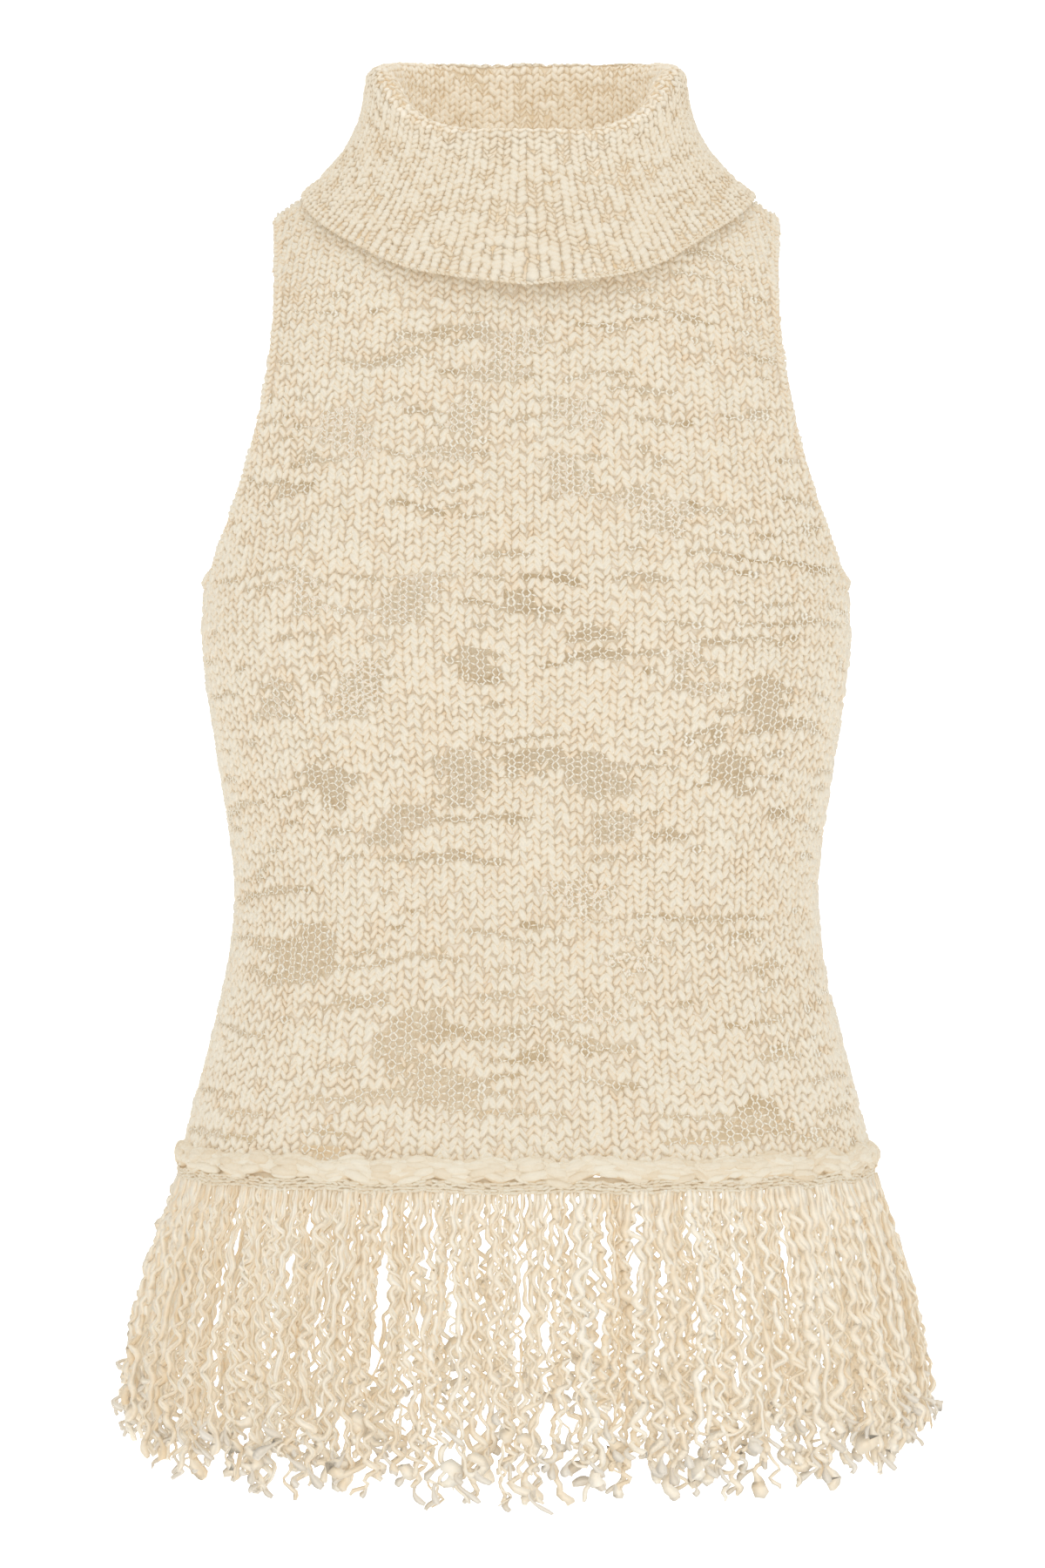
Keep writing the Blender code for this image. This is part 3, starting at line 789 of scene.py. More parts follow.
openings = []
for side in ("front", "back"):
    rng = np.random.default_rng(5 if side == "front" else 6)
    middles = knit_grid(side, (np.arange(WALES) + 0.5) / WALES - 0.5, 0.5)
    thick = slub(side, middles, rng)
    if side == "back":
        thick = np.maximum(thick, 0.75 * net_pull("front", ahead_on_front(middles), True, 1.5))
    cloth = ground(side, thick, rng, openings)
    openings = middles[thick < THIN_BELOW]
    yarn = [*stitches(side, middles, thick, rng), *bars(side, middles, thick, rng)]
    for piece in [cloth, *yarn]:
        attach(piece, "root")
    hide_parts(f"{side}_panel")

# ---------------------------------------------------------------- collar

COLLAR_WALES = 70
COLLAR_COURSES = 50
INNER_COURSES = 21
FOLD_COURSE = 23  # the stitches lie flatter where the collar turns over
EDGE_STITCHES = 330


def collar_grid(angles, courses):
    """Points in the collar's wall from the neck seam to the lower edge, and their outward directions."""
    columns = []
    normals = []
    for angle in angles:
        side = "front" if math.cos(angle) > 0 else "back"
        from_front = abs((math.degrees(angle) + 180) % 360 - 180)
        sine = math.sin(angle)
        cosine = math.cos(angle)
        x = np.array(NECK_HALF_WIDTH * sine)
        base = body_points(side, x, neck_height(side, x))
        fold_height = float(read(COLLAR_RAYS, 1, from_front))
        fold = np.array((FOLD_HALF_WIDTH * sine, -FOLD_DEPTH[side] * cosine, fold_height))
        power = 2 / OVAL_POWER
        edge = np.array(
            (
                math.copysign(EDGE_HALF_WIDTH * abs(sine) ** power, sine),
                math.copysign(EDGE_DEPTH[side] * abs(cosine) ** power, -cosine),
                float(read(COLLAR_RAYS, 2, from_front)),
            )
        )
        out = unit(np.array((sine / FOLD_HALF_WIDTH, -cosine / FOLD_DEPTH[side], 0.0)))
        radius = FOLD_RADIUS + FOLD_FULLER_AT_SIDES * sine**2
        fold = fold - (out + UP) * (radius - FOLD_RADIUS)
        edge = edge + (out - UP * 0.5) * COLLAR_RIPPLE * math.sin(COLLAR_RIPPLES * angle + 0.6)
        start = base + UP * SEAM_GAP - out * PANEL_WALL / 2
        path = [start + (fold - out * radius - start) * t for t in np.linspace(0, 1, 20)[:-1]]
        for turn in np.linspace(PI, 0, 12):
            path.append(fold + (out * math.cos(turn) + UP * math.sin(turn)) * radius)
        top = fold + out * radius
        flare = MIDDLE_FLARE_POWER + (SIDE_FLARE_POWER - MIDDLE_FLARE_POWER) * sine**4
        for t in np.linspace(0, 1, 30)[1:]:
            spread = top + (edge - top) * t**flare
            path.append(np.array((spread[0], spread[1], top[2] + (edge[2] - top[2]) * t)))
        path = np.array(path)
        run = np.concatenate([[0], np.cumsum(np.linalg.norm(np.diff(path, axis=0), axis=1))])
        at = np.asarray(courses) / COLLAR_COURSES * run[-1]
        points = np.stack([np.interp(at, run, path[:, k]) for k in range(3)], -1)
        step = np.gradient(points, axis=0)
        forward = step @ out
        normal = UP * forward[:, None] - out * step[:, 2:3]
        columns.append(points)
        normals.append(unit(normal))
    return np.stack(columns, 1), np.stack(normals, 1)


def collar():
    rng = np.random.default_rng(17)
    angles = np.linspace(0, 2 * PI, COLLAR_WALES * 2 + 1)[:-1]
    points, normals = collar_grid(angles, np.linspace(0, COLLAR_COURSES, COLLAR_COURSES + 1))
    laid = points + normals * 0.0004
    faces = grid_faces(*points.shape[:2], closed_columns=True)
    shade = np.clip(rng.normal(0.5, 0.2, points.shape[:2]), 0, 1)
    cloth = mesh_object("collar_ground", laid, faces, inner_yarn, shade)

    angles = (np.arange(2 * COLLAR_WALES) + 0.5) * PI / COLLAR_WALES
    courses = np.arange(COLLAR_COURSES) + 0.5
    middles, normals = collar_grid(angles, courses)
    around = (np.roll(middles, -1, 1) - np.roll(middles, 1, 1)) / 2
    along = np.gradient(middles, axis=0)
    wide = np.linalg.norm(around, axis=-1)
    tall = np.linalg.norm(along, axis=-1)
    # Knobs of slub stand in short upright stacks, a few stitches tall.
    wales = (len(courses), COLLAR_WALES)
    stacks = 0.75 * streaks(wales, rng, 1, 2) + 0.5 * streaks(wales, rng, 3, 1)
    stacks = stacks + 0.3 * streaks(wales, rng, 1, 1)
    stacks = np.repeat(stacks, 2, axis=1)
    full = smooth_step((stacks + 1.5) / 1.6) + 0.16 * np.clip(stacks - 0.3, 0, 1.6)
    own = rng.normal(0, 1, full.shape)
    girth = (0.60 + 0.48 * full) * (1 + 0.10 * own)
    rising = np.where(along[..., 2] > 0, 1, -1)[..., None]
    loose = np.clip((COLLAR_COURSES - 1 - courses) / 3, 0, 1)[:, None]
    way = np.where(np.arange(2 * COLLAR_WALES) % 2, 1.0, -1.0)[None, :]
    lean = way * 0.95 * (1 + 0.2 * rng.normal(0, 1, full.shape))
    direction = along * BEAD_REACH * rising + around * lean[..., None]
    centre = middles + normals * (0.0006 + 0.0004 * full)[..., None]
    centre = centre + around * (0.07 * rng.normal(0, 1, full.shape))[..., None]
    centre = centre + along * (loose * 0.12 * rng.normal(0, 1, full.shape))[..., None]
    long = 0.54 * np.linalg.norm(direction, axis=-1) * (0.9 + 0.12 * full) * (0.7 + 0.3 * loose)
    calm = 1 - 0.45 * np.exp(-(((courses - FOLD_COURSE) / 3) ** 2))[:, None]
    size = np.stack([0.54 * wide * girth, 0.0015 * calm * (0.55 + 0.45 * full), long], -1)
    # Painted shade with random tone: thin knobs, which lie lower, are painted darker.
    shade = np.clip(0.68 + 0.15 * full + 0.10 * own, 0, 1)
    values = (centre, normals, direction, size, shade)
    yarns = []
    inside = slice(0, INNER_COURSES)
    outside = slice(INNER_COURSES, None)
    parts = (("collar_inside", inside, inner_yarn), ("collar_outside", outside, collar_yarn))
    for name, rows, material in parts:
        stores = new_stores()
        put(stores, [value[rows] for value in values])
        yarns.append(lay_lots(name, stores, material))
    return cloth, [*yarns, collar_edge(rng)]


def collar_edge(rng):
    """The bound edge of the collar: a close chain of yarn right round."""
    angles = (np.arange(EDGE_STITCHES) + 0.5) * 2 * PI / EDGE_STITCHES
    parts = new_stores()
    for course, size, lean in ((COLLAR_COURSES - 0.1, 0.0009, 0.45), (COLLAR_COURSES - 0.8, 0.0008, -0.45)):
        points, normals = collar_grid(angles, [course - 0.4, course])
        place = points[1]
        around = (np.roll(place, -1, 0) - np.roll(place, 1, 0)) / 2
        down = points[1] - points[0]
        direction = around + unit(down) * np.linalg.norm(around, axis=-1, keepdims=True) * lean
        wide = np.linalg.norm(around, axis=-1) * 0.72
        girth = rng.uniform(0.85, 1.2, EDGE_STITCHES)
        sizes = np.stack([size * girth, size * girth, wide], -1)
        shade = rng.uniform(0.5, 1.0, EDGE_STITCHES)
        put(parts, (place + normals[1] * 0.0006, normals[1], direction, sizes, shade))
    return lay_lots("collar_edge", parts, collar_yarn)


collar_cloth, collar_yarns = collar()
for piece in [collar_cloth, *collar_yarns]:
    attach(piece, "root")
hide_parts("roll_collar")

# ---------------------------------------------------------------- armhole trims

TRIM_STITCHES = 150
TRIM_TOP = -0.0188
# outward from the panel's edge, and above the panel's face
TRIM_SECTION = (
    (0.0, -0.0006),
    (0.0022, -0.0004),
    (0.0042, -0.0007),
    (0.0050, -0.0014),
    (0.0042, -0.0022),
    (0.0, -0.0020),
)
# Lines of stitches on the trim: outward, above the face, radius and lean
TRIM_CHAINS = (
    (0.0008, -0.0004, 0.0015, 0.9),
    (0.0028, -0.0005, 0.0016, -0.9),
    (0.0042, -0.0012, 0.0013, 0.1),
)


def armhole_path(way, count):
    """Points round an armhole, down the front from the shoulder and up the back, with frames."""
    heights = UNDERARM_HEIGHT + (TRIM_TOP - UNDERARM_HEIGHT) * (1 - np.cos(np.linspace(0, PI, count))) / 2
    rings = {}
    for side in ("front", "back"):
        edge = read(ARMHOLE_EDGE, 1, heights)
        grid = np.stack([body_points(side, way * (edge - inward), heights) for inward in (0.003, 0.0)], 1)
        across = grid[:, 1] - grid[:, 0]
        along = np.gradient(grid[:, 1], axis=0)
        normal = unit(FORWARDS[side] * way * np.cross(along, across))
        rings[side] = (grid[:, 1], normal)
    points = np.concatenate([rings["front"][0][::-1], rings["back"][0][1:-1]])
    normals = np.concatenate([rings["front"][1][::-1], rings["back"][1][1:-1]])
    steps = np.diff(np.vstack([points, points[:1]]), axis=0)
    run = np.concatenate([[0], np.cumsum(np.linalg.norm(steps, axis=1))])
    at = np.linspace(0, run[-1], count + 1)[:-1]

    def evenly(values):
        return np.stack([np.interp(at, run, np.append(column, column[0])) for column in values.T], -1)

    points = evenly(points)
    normals = unit(evenly(normals))
    for _ in range(4):
        normals = unit(np.roll(normals, 1, 0) + normals * 2 + np.roll(normals, -1, 0))
    tangent = unit(np.roll(points, -1, 0) - np.roll(points, 1, 0))
    away = way * unit(np.cross(normals, tangent))
    return points, normals, tangent, away


def trim(name, way, cad_node):
    """A narrow band of knit round an armhole, with its lines of stitches."""
    points, normals, tangent, away = armhole_path(way, TRIM_STITCHES)
    rings = np.stack([points + away * a + normals * n for a, n in TRIM_SECTION], 1)
    faces = grid_faces(len(points), len(TRIM_SECTION), closed_rows=True, closed_columns=True)
    if way > 0:
        faces = faces[:, ::-1]
    rng = np.random.default_rng(40 + way)
    shade = rng.uniform(0.2, 0.8, rings.shape[:2])
    band = mesh_object(name, rings, faces, ground_yarn, shade)

    step = np.linalg.norm(np.roll(points, -1, 0) - points, axis=1)
    stores = new_stores()
    for offset, lift, radius, lean in TRIM_CHAINS:
        own = streaks((1, len(points)), rng, 2, 1)[0]
        outermost = offset > 0.004
        rough = 0.05 if outermost else 0.20
        girth = np.clip(1 + rough * own, 0.5, 1.4)
        centre = points + away * (offset + 0.001 * rough * own)[:, None] + normals * lift
        direction = tangent + away * (lean + 0.3 * rng.normal(0, 1, len(points)))[:, None]
        size = np.stack([radius * girth, radius * girth, step * (1.2 if outermost else 0.78)], -1)
        shade = np.clip(0.72 + 0.16 * own, 0, 1)
        put(stores, (centre, normals, direction, size, shade))
    chain = lay_lots(name + "_chain", stores, knit_yarn)
    for piece in (band, chain):
        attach(piece, "root")
    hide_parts(cad_node)


trim("trim_left", 1, "armhole_trim_left")
trim("trim_right", -1, "armhole_trim_right")

# ---------------------------------------------------------------- rolled hem

ROLL_RADIUS = 0.0044
ROLL_MIDDLE = HEM_HEIGHT - 0.0018
ROLL_OFFSET = -0.0006
ROLL_STEPS = 540
ROLL_SIDES = 14
LUMP_SINK = 0.0009
LUMP_HALF_DEPTH = 0.0018
# Rows of lumps on the roll: angle up from straight out, count, half width and half length
LUMP_ROWS = (
    (74, 150, 0.0016, 0.0055),
    (52, 130, 0.0018, 0.0065),
    (28, 100, 0.0023, 0.0085),
    (2, 84, 0.0027, 0.0100),
    (-24, 84, 0.0026, 0.0100),
    (-48, 104, 0.0018, 0.0080),
)
BAND_HEIGHTS = (-0.0074, -0.0089, -0.0104, -0.0119)  # above the hem
BAND_STITCHES = 300


def hem_places(angles, offset):
    """Points at the hem and the level directions out of the cloth, round from the front."""
    depth = np.where(np.cos(angles) > 0, BODY_SECTIONS[0, 2], BODY_SECTIONS[0, 3])
    width = BODY_SECTIONS[0, 1]
    power = 2 / OVAL_POWER
    x = np.sign(np.sin(angles)) * width * np.abs(np.sin(angles)) ** power
    y = -np.sign(np.cos(angles)) * depth * np.abs(np.cos(angles)) ** power
    slope_x = np.sign(x) * np.abs(x / width) ** (OVAL_POWER - 1) / width
    slope_y = np.sign(y) * np.abs(y / depth) ** (OVAL_POWER - 1) / depth
    out = unit(np.stack([slope_x, slope_y, np.zeros_like(x)], -1))
    points = np.stack([x, y, np.full_like(x, HEM_HEIGHT)], -1)
    return points + out * offset, out


def even_hem_angles(count, start=0.0):
    """Angles at even distances round the hem."""
    fine = np.linspace(0, 2 * PI, 4001)
    points, _ = hem_places(fine, 0.0)
    run = np.concatenate([[0], np.cumsum(np.linalg.norm(np.diff(points, axis=0), axis=1))])
    return np.interp((np.arange(count) + start) / count * run[-1], run, fine)


def roll_sag(even):
    """How far the lower edge of the roll sags, from 0 to 1, in uneven scallops."""
    scallops = np.abs(np.sin(19 * even + 1.6 * np.sin(5 * even + 1) + 1.1 * np.sin(11 * even)))
    longer = 0.5 + 0.5 * np.sin(7 * even + 2 * np.sin(3 * even))
    return np.clip(0.75 * scallops**0.8 + 0.35 * longer - 0.1, 0, 1)


def roll_surface(even, centre, out, turn):
    """Points on the roll at an angle round it, 0 facing outward and negative below."""
    below = np.clip(-np.sin(turn), 0, 1)
    swell = 0.5 * np.sin(23 * even + 2 * np.sin(7 * even))
    swell = swell + 0.5 * np.sin(41 * even + 1.5 * np.sin(13 * even) + 1)
    wander = 0.5 * np.sin(17 * even + 2.2 * np.sin(6 * even) + 2)
    wander = wander + 0.5 * np.sin(31 * even + np.sin(9 * even))
    reach = ROLL_RADIUS * (1 + 0.16 * swell)
    drop = 0.0044 * roll_sag(even) * below - 0.0016 * wander
    above = np.clip(np.sin(turn), 0, 1)
    rise = reach * np.sin(turn) * np.where(np.sin(turn) > 0, 1 + 0.25 * above, 0.75) - drop
    flatter = np.where(np.sin(turn) < 0, 0.55, 1.0)
    outward = reach * np.sign(np.cos(turn)) * np.abs(np.cos(turn)) ** flatter + 0.0008 * above
    return centre + out * outward[..., None] + UP * rise[..., None]


def hem_roll():
    """The rolled hem: a soft roll with a scalloped lower edge over a flat band of knit."""
    rng = np.random.default_rng(77)
    angles = even_hem_angles(ROLL_STEPS)
    even = np.linspace(0, 2 * PI, ROLL_STEPS + 1)[:-1]
    centre, out = hem_places(angles, ROLL_OFFSET)
    centre[:, 2] = ROLL_MIDDLE
    turns = np.linspace(0, 2 * PI, ROLL_SIDES + 1)[:-1]
    rings = np.stack([roll_surface(even, centre, out, np.full(ROLL_STEPS, turn)) for turn in turns], 1)
    faces = grid_faces(ROLL_STEPS, ROLL_SIDES, closed_rows=True, closed_columns=True)
    # Painted shade: the underside of the rope is painted darker, into the crease below it.
    shade = 0.80 - 0.60 * np.clip(-np.sin(turns) * 1.5 - 0.3, 0, 1)
    rope = mesh_object("hem_rope", rings, faces, roll_yarn, np.broadcast_to(shade, rings.shape[:2]))

    # Slub stitches pulled lengthwise lie along the roll.
    stores = new_stores()
    lumps = new_stores()
    fine = np.linspace(0, 2 * PI, 1441)
    fine_angles = np.append(even_hem_angles(1440), 2 * PI)
    ahead = 0.01  # radians, and metres to a radian along the hem
    girth_radius = 0.145
    for turn, count, half_width, half_length in LUMP_ROWS:
        start = rng.uniform(0, 1)
        even = (np.arange(count) + start + rng.uniform(-0.3, 0.3, count)) / count * 2 * PI
        angles = np.interp(even, fine, fine_angles)
        turned = np.radians(turn + rng.normal(0, 7, count))
        centre, out = hem_places(angles, ROLL_OFFSET)
        centre[:, 2] = ROLL_MIDDLE
        place = roll_surface(even, centre, out, turned)
        facing = out * np.cos(turned)[:, None] + UP * np.sin(turned)[:, None]
        along = unit(np.cross(UP, out))
        sideways = np.cross(facing, along)
        before = roll_surface(even - ahead, centre, out, turned)
        after = roll_surface(even + ahead, centre, out, turned)
        slope = (after - before)[:, 2] / (2 * ahead * girth_radius)
        direction = along + sideways * rng.normal(0, 0.10, count)[:, None] + UP * slope[:, None]
        girth = rng.uniform(0.6, 1.25, count)
        long = half_length * rng.uniform(0.55, 1.0, count)
        size = np.stack([half_width * girth, LUMP_HALF_DEPTH * girth, long], -1)
        shade = np.clip(rng.normal(0.78, 0.15, count), 0, 1)
        put(lumps, (place - facing * LUMP_SINK, facing, direction, size, shade))

    # The flat band under the roll
    count = BAND_STITCHES
    for height in BAND_HEIGHTS:
        angles = even_hem_angles(count, rng.uniform(0, 1))
        centre, out = hem_places(angles, 0.0020)
        centre[:, 2] = HEM_HEIGHT + height + rng.normal(0, 0.0002, count) + 0.0006 * np.sin(19 * angles)
        along = (np.roll(centre, -1, 0) - np.roll(centre, 1, 0)) / 2
        girth = rng.uniform(0.75, 1.3, count)
        size = np.stack([0.0010 * girth, 0.0010 * girth, np.full(count, 0.0025)], -1)
        direction = along + UP * rng.normal(0, 0.0006, count)[:, None]
        put(stores, (centre, out, direction, size, rng.uniform(0.55, 1.0, count)))
    return [
        rope,
        lay_lots("hem_lumps", lumps, roll_yarn, segments=6, rings=4, rim_shade=0.25),
        lay_lots("hem_band", stores, roll_yarn),
    ]


rope, *hem_yarns = hem_roll()
for piece in (rope, *hem_yarns):
    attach(piece, "root")
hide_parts("hem_roll")

# ---------------------------------------------------------------- fringe

STRANDS = 236
STRAND_STEPS = 76
STRAND_RADIUS = 0.00158
FRINGE_TOP = HEM_HEIGHT - 0.0112
FRINGE_SHORTEST = 0.112
FRINGE_LONGEST = 0.147
SHORTER_AT_SIDES = 0.020
SIDE_SPREAD = 0.026
MIDDLE_SPREAD = 0.020
LOCK_WIDTHS = (0.005, 0.015)
CRIMP = 0.00090
WISP_STEPS = 9
WISP_RADIUS = 0.00100
STRIP_STEPS = 160
# outward from the hem, and above it
STRIP_SECTION = (
    (0.0, -0.0050),
    (0.0002, -0.0090),
    (-0.0002, -0.0128),
    (-0.0016, -0.0128),
    (-0.0018, -0.0090),
    (-0.0016, -0.0050),
)


def tubes(name, paths, radii, out, shade, material, flat, sides=3):
    """Strands along paths, one row of points for each strand, flat times as wide as they are deep."""
    tangent = unit(np.gradient(paths, axis=1))
    first = unit(np.cross(tangent, out[:, None, :]))
    second = np.cross(first, tangent)
    turn = np.linspace(0, 2 * PI, sides + 1)[:-1]
    ring = first[..., None, :] * np.cos(turn)[:, None] * flat[..., None, None]
    ring = ring + second[..., None, :] * np.sin(turn)[:, None]
    points = paths[..., None, :] + ring * radii[..., None, None]
    count, steps = radii.shape
    block = grid_faces(steps, sides, closed_columns=True)
    shift = np.arange(count)[:, None, None] * steps * sides
    faces = (block[None] + shift).reshape(-1, 4).tolist()
    for k in range(count):
        start = k * steps * sides
        faces.append([start + j for j in range(sides)][::-1])
        faces.append([start + (steps - 1) * sides + j for j in range(sides)])
    return mesh_object(name, points, faces, material, np.repeat(shade.reshape(-1), sides))


def fringe(side):
    """The strands below one half of the hem, their fibre ends and the strip that holds them."""
    rng = np.random.default_rng(60 + FORWARDS[side])
    count = STRANDS
    middle = 0 if side == "front" else PI
    spaced = (np.arange(count) + 0.5 + rng.uniform(-0.3, 0.3, count)) / count - 0.5
    angles = middle + PI * spaced
    root, out = hem_places(angles, 0.0008)
    root = root + out * rng.uniform(-0.0012, 0.0014, count)[:, None]
    around = np.cross(UP, out)
    longest = FRINGE_LONGEST - SHORTER_AT_SIDES * out[:, 0] ** 4
    shortest = FRINGE_SHORTEST - 0.5 * SHORTER_AT_SIDES * out[:, 0] ** 4
    length = shortest + (longest - shortest) * rng.random(count) ** 0.55
    t = np.linspace(0, 1, STRAND_STEPS)[None, :]
    flare = (MIDDLE_SPREAD + (SIDE_SPREAD - MIDDLE_SPREAD) * out[:, 0] ** 2) * rng.uniform(0.70, 1.12, count)
    # Strands gather into locks that wander together and leave slits between them.
    shared = np.random.default_rng(71)
    edges = np.cumsum(shared.uniform(*LOCK_WIDTHS, 60))
    edges = edges - edges[-1] / 2
    seen = root[:, 0] / (1.0 if side == "front" else BEHIND_SCALE)
    lock = np.searchsorted(edges, seen)
    locks = len(edges) + 1
    middles = [root[lock == k, 0].mean() if np.any(lock == k) else 0.0 for k in range(locks)]
    in_lock = np.array(middles)[lock]
    facing = np.abs(out[:, 1])
    gather = (in_lock - root[:, 0]) * np.sign(around[:, 0]) * facing
    gather = gather * shared.uniform(0.10, 0.62, locks)[lock]
    drift = shared.normal(0, 0.0026, locks)[lock][:, None] * t + (
        shared.uniform(0.0008, 0.0024, locks)[lock][:, None]
        * np.sin(t * shared.uniform(5, 12, locks)[lock][:, None] + shared.uniform(0, 6, locks)[lock][:, None])
    )
    drift = drift * np.sign(around[:, :1])
    period = rng.uniform(0.0065, 0.0105, locks)[lock] * rng.uniform(0.93, 1.07, count)
    phase = rng.uniform(0, 2 * PI, locks)[lock] + rng.normal(0, 0.8, count)
    turning = 2 * PI * length[:, None] * t / period[:, None] + phase[:, None]
    turning = turning + 1.6 * np.sin(t * rng.uniform(8, 18, locks)[lock][:, None] + 2 * phase[:, None])
    grown = np.clip(t * 9, 0.15, 1)
    ending = np.clip((t - 0.90) / 0.10, 0, 1)
    crimp = CRIMP * grown * (1 + 0.4 * t) * rng.uniform(0.4, 1.5, count)[:, None]
    crimp = crimp * (1 + 0.6 * np.sin(t * rng.uniform(10, 26, count)[:, None] + phase[:, None]))
    uneven = rng.normal(0, 1, (2, count, STRAND_STEPS + 8))
    uneven = np.apply_along_axis(lambda line: np.convolve(line, np.hanning(7), "same"), 2, uneven)
    uneven = uneven[:, :, 4:-4]
    uneven = uneven / uneven.std() * 0.0011 * grown * (1 + 0.9 * t**2)
    wander = 0.0036 * np.sin(t * rng.uniform(5, 12, count)[:, None] + phase[:, None] * 2) * t**2
    curl = rng.choice((0.0, 0.0, 1.0), count)[:, None] * rng.choice((-1, 1), count)[:, None]
    curl_radius = rng.uniform(0.0025, 0.0045, count)[:, None]
    curl_turn = 5.0 * ending
    sideways = gather[:, None] * np.clip(4 * t, 0, 1) * (1 - 0.35 * t) + drift * np.clip(4 * t, 0, 1)
    sideways = sideways + crimp * np.sin(turning) + uneven[0] + wander
    sideways = sideways + curl * curl_radius * (1 - np.cos(curl_turn))
    outward = flare[:, None] * np.sin(PI / 2 * t) + 0.5 * crimp * np.cos(turning) + 0.6 * uneven[1]
    raised = 0.1 * length[:, None] * ending - curl_radius * np.sin(curl_turn)
    drop = length[:, None] * t - np.abs(curl) * raised
    paths = root[:, None, :] + out[:, None, :] * outward[..., None]
    paths = paths + around[:, None, :] * sideways[..., None]
    paths = paths + UP * (FRINGE_TOP - HEM_HEIGHT - drop)[..., None]
    radii = STRAND_RADIUS * rng.choice((0.55, 0.85, 1.0, 1.15), count)[:, None]
    radii = radii * rng.uniform(0.9, 1.1, count)[:, None]
    radii = radii * (1 + 0.25 * np.sin(t * rng.uniform(20, 50, count)[:, None] + phase[:, None]))
    # About half of the strands end in a flat felted tuft.
    tufted = (rng.random(count) < 0.55)[:, None] * smooth_step((t - 0.92) / 0.05)
    flat = 1 + tufted * rng.uniform(0.6, 2.2, count)[:, None]
    radii = radii * (1 - 0.5 * (ending > 0.98))
    # Painted light and shade, with random tone: each strand is lighter where its crimp bows outward and
    # darker where it turns in.
    shade = np.clip(rng.normal(0.66, 0.20, count)[:, None] + 0.15 * np.cos(turning), 0, 1)
    strands = tubes(f"{side}_fringe", paths, radii, out, shade, fringe_yarn, flat)

    # Loose fibre ends that curl from the last stretch of each strand
    s = np.linspace(0, 1, WISP_STEPS)[None, :]
    start = paths[np.arange(count), rng.integers(STRAND_STEPS - 12, STRAND_STEPS - 1, count)]
    curl = rng.uniform(1.5, 5, count)[:, None] * s + rng.uniform(0, 6, count)[:, None]
    size = rng.uniform(0.0018, 0.0040, count)[:, None]
    sway = rng.normal(0, 0.004, count)[:, None] * s
    fall = rng.uniform(0.004, 0.010, count)[:, None] * s
    sideways = size * (np.sin(curl) - np.sin(curl[:, :1])) + sway
    outward = size * (np.cos(curl) - np.cos(curl[:, :1]))
    wisp = start[:, None, :] + around[:, None, :] * sideways[..., None]
    wisp = wisp + out[:, None, :] * outward[..., None]
    wisp = wisp - UP * fall[..., None]
    bulge = smooth_step((s - 0.35) / 0.35) * (1 - 0.7 * smooth_step((s - 0.8) / 0.2))
    widening = 1.0 + 2.2 * rng.random(count)[:, None] ** 0.7 * bulge
    thin = np.full((count, WISP_STEPS), WISP_RADIUS) * rng.uniform(0.8, 1.2, count)[:, None]
    shade = rng.uniform(0.2, 1, (count, 1)) + 0 * s
    ends = tubes(f"{side}_fringe_ends", wisp, thin, out, shade, tip_yarn, widening)

    # The strip that holds the strands, just below the roll
    fine = middle + np.linspace(-PI / 2, PI / 2, STRIP_STEPS)
    place, away = hem_places(fine, 0.0004)
    rings = np.stack([place + away * a + UP * z for a, z in STRIP_SECTION], 1)
    faces = grid_faces(STRIP_STEPS, len(STRIP_SECTION), closed_columns=True)
    shade = rng.uniform(0.2, 0.8, rings.shape[:2])
    strip = mesh_object(f"{side}_fringe_strip", rings, faces, roll_yarn, shade)
    for piece in (strands, ends, strip):
        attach(piece, "root")
    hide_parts(f"fringe_{side}")


for side in ("front", "back"):
    fringe(side)

# ---------------------------------------------------------------- stage, light and camera


def plain_material(name, colour, glow):
    material = bpy.data.materials.new(name)
    material.use_nodes = True
    shader = material.node_tree.nodes["Principled BSDF"]
    shader.inputs["Base Color"].default_value = (colour, colour, colour, 1)
    shader.inputs["Roughness"].default_value = 0.9
    shader.inputs["Emission Color"].default_value = (1, 1, 1, 1)
    shader.inputs["Emission Strength"].default_value = glow
    return material


def quad(name, corners, material):
    return mesh_object(name, np.array(corners, float), [[0, 1, 2, 3]], material)


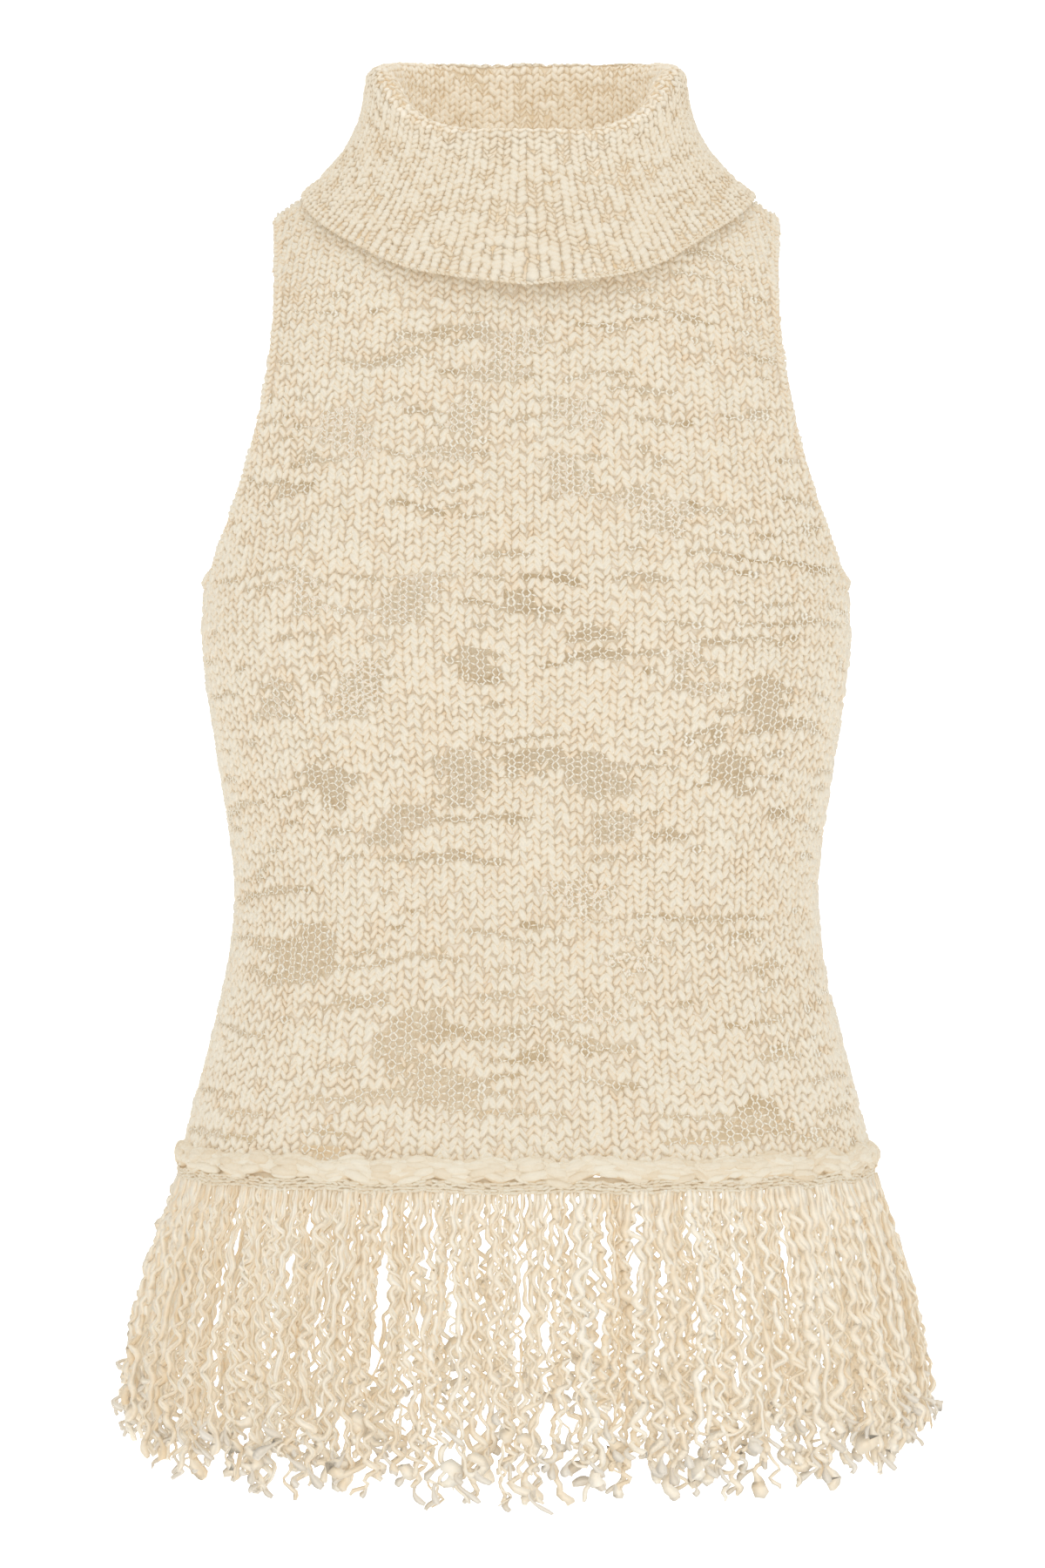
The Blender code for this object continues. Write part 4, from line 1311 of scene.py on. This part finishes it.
# The backdrop stands beyond the camera of every other view, and hides the floor's far edge from the front.
WIDE = 8
FLOOR_AT = -1.55
BACKDROP_AT = 5.3
BACKDROP_HALF = 2.2
floor = quad(
    "floor",
    ((-WIDE, -WIDE, FLOOR_AT), (WIDE, -WIDE, FLOOR_AT), (WIDE, WIDE, FLOOR_AT), (-WIDE, WIDE, FLOOR_AT)),
    plain_material("floor", 0.85, 0.35),
)
backdrop = quad(
    "backdrop",
    (
        (-BACKDROP_HALF, BACKDROP_AT, FLOOR_AT),
        (BACKDROP_HALF, BACKDROP_AT, FLOOR_AT),
        (BACKDROP_HALF, BACKDROP_AT, BACKDROP_HALF),
        (-BACKDROP_HALF, BACKDROP_AT, BACKDROP_HALF),
    ),
    plain_material("backdrop", 0.9, 1.0),
)


def area_light(name, place, aim, size, power):
    lamp = bpy.data.lights.new(name, "AREA")
    lamp.shape = "DISK"
    lamp.size = size
    lamp.energy = power
    made = bpy.data.objects.new(name, lamp)
    made.location = place
    direction = np.array(aim) - np.array(place)
    yaw = math.atan2(direction[0], -direction[1])
    pitch = math.atan2(math.hypot(direction[0], direction[1]), -direction[2])
    made.rotation_euler = (pitch, 0, yaw + PI)
    bpy.context.scene.collection.objects.link(made)


area_light("key", (-1.1, -1.9, 1.0), (0, 0, -0.25), 1.4, 4.2)
area_light("fill", (1.3, -1.9, 0.3), (0, 0, -0.3), 1.6, 3)
area_light("top", (0.1, -0.6, 1.5), (0, 0, -0.2), 1.2, 2.8)

world = bpy.data.worlds.new("studio")
world.use_nodes = True
world.node_tree.nodes["Background"].inputs["Color"].default_value = (1.0, 0.99, 0.97, 1)
world.node_tree.nodes["Background"].inputs["Strength"].default_value = 0.77
bpy.context.scene.world = world
bpy.context.scene.view_settings.view_transform = "Standard"

camera = bpy.data.objects.new("camera", bpy.data.cameras.new("camera"))
camera.data.lens = 118.06  # mm, which gives the photograph's frame at its distance
camera.data.sensor_width = 36
camera.location = CAMERA_PLACE
camera.rotation_euler = (PI / 2, 0, 0)
bpy.context.scene.collection.objects.link(camera)
bpy.context.scene.camera = camera
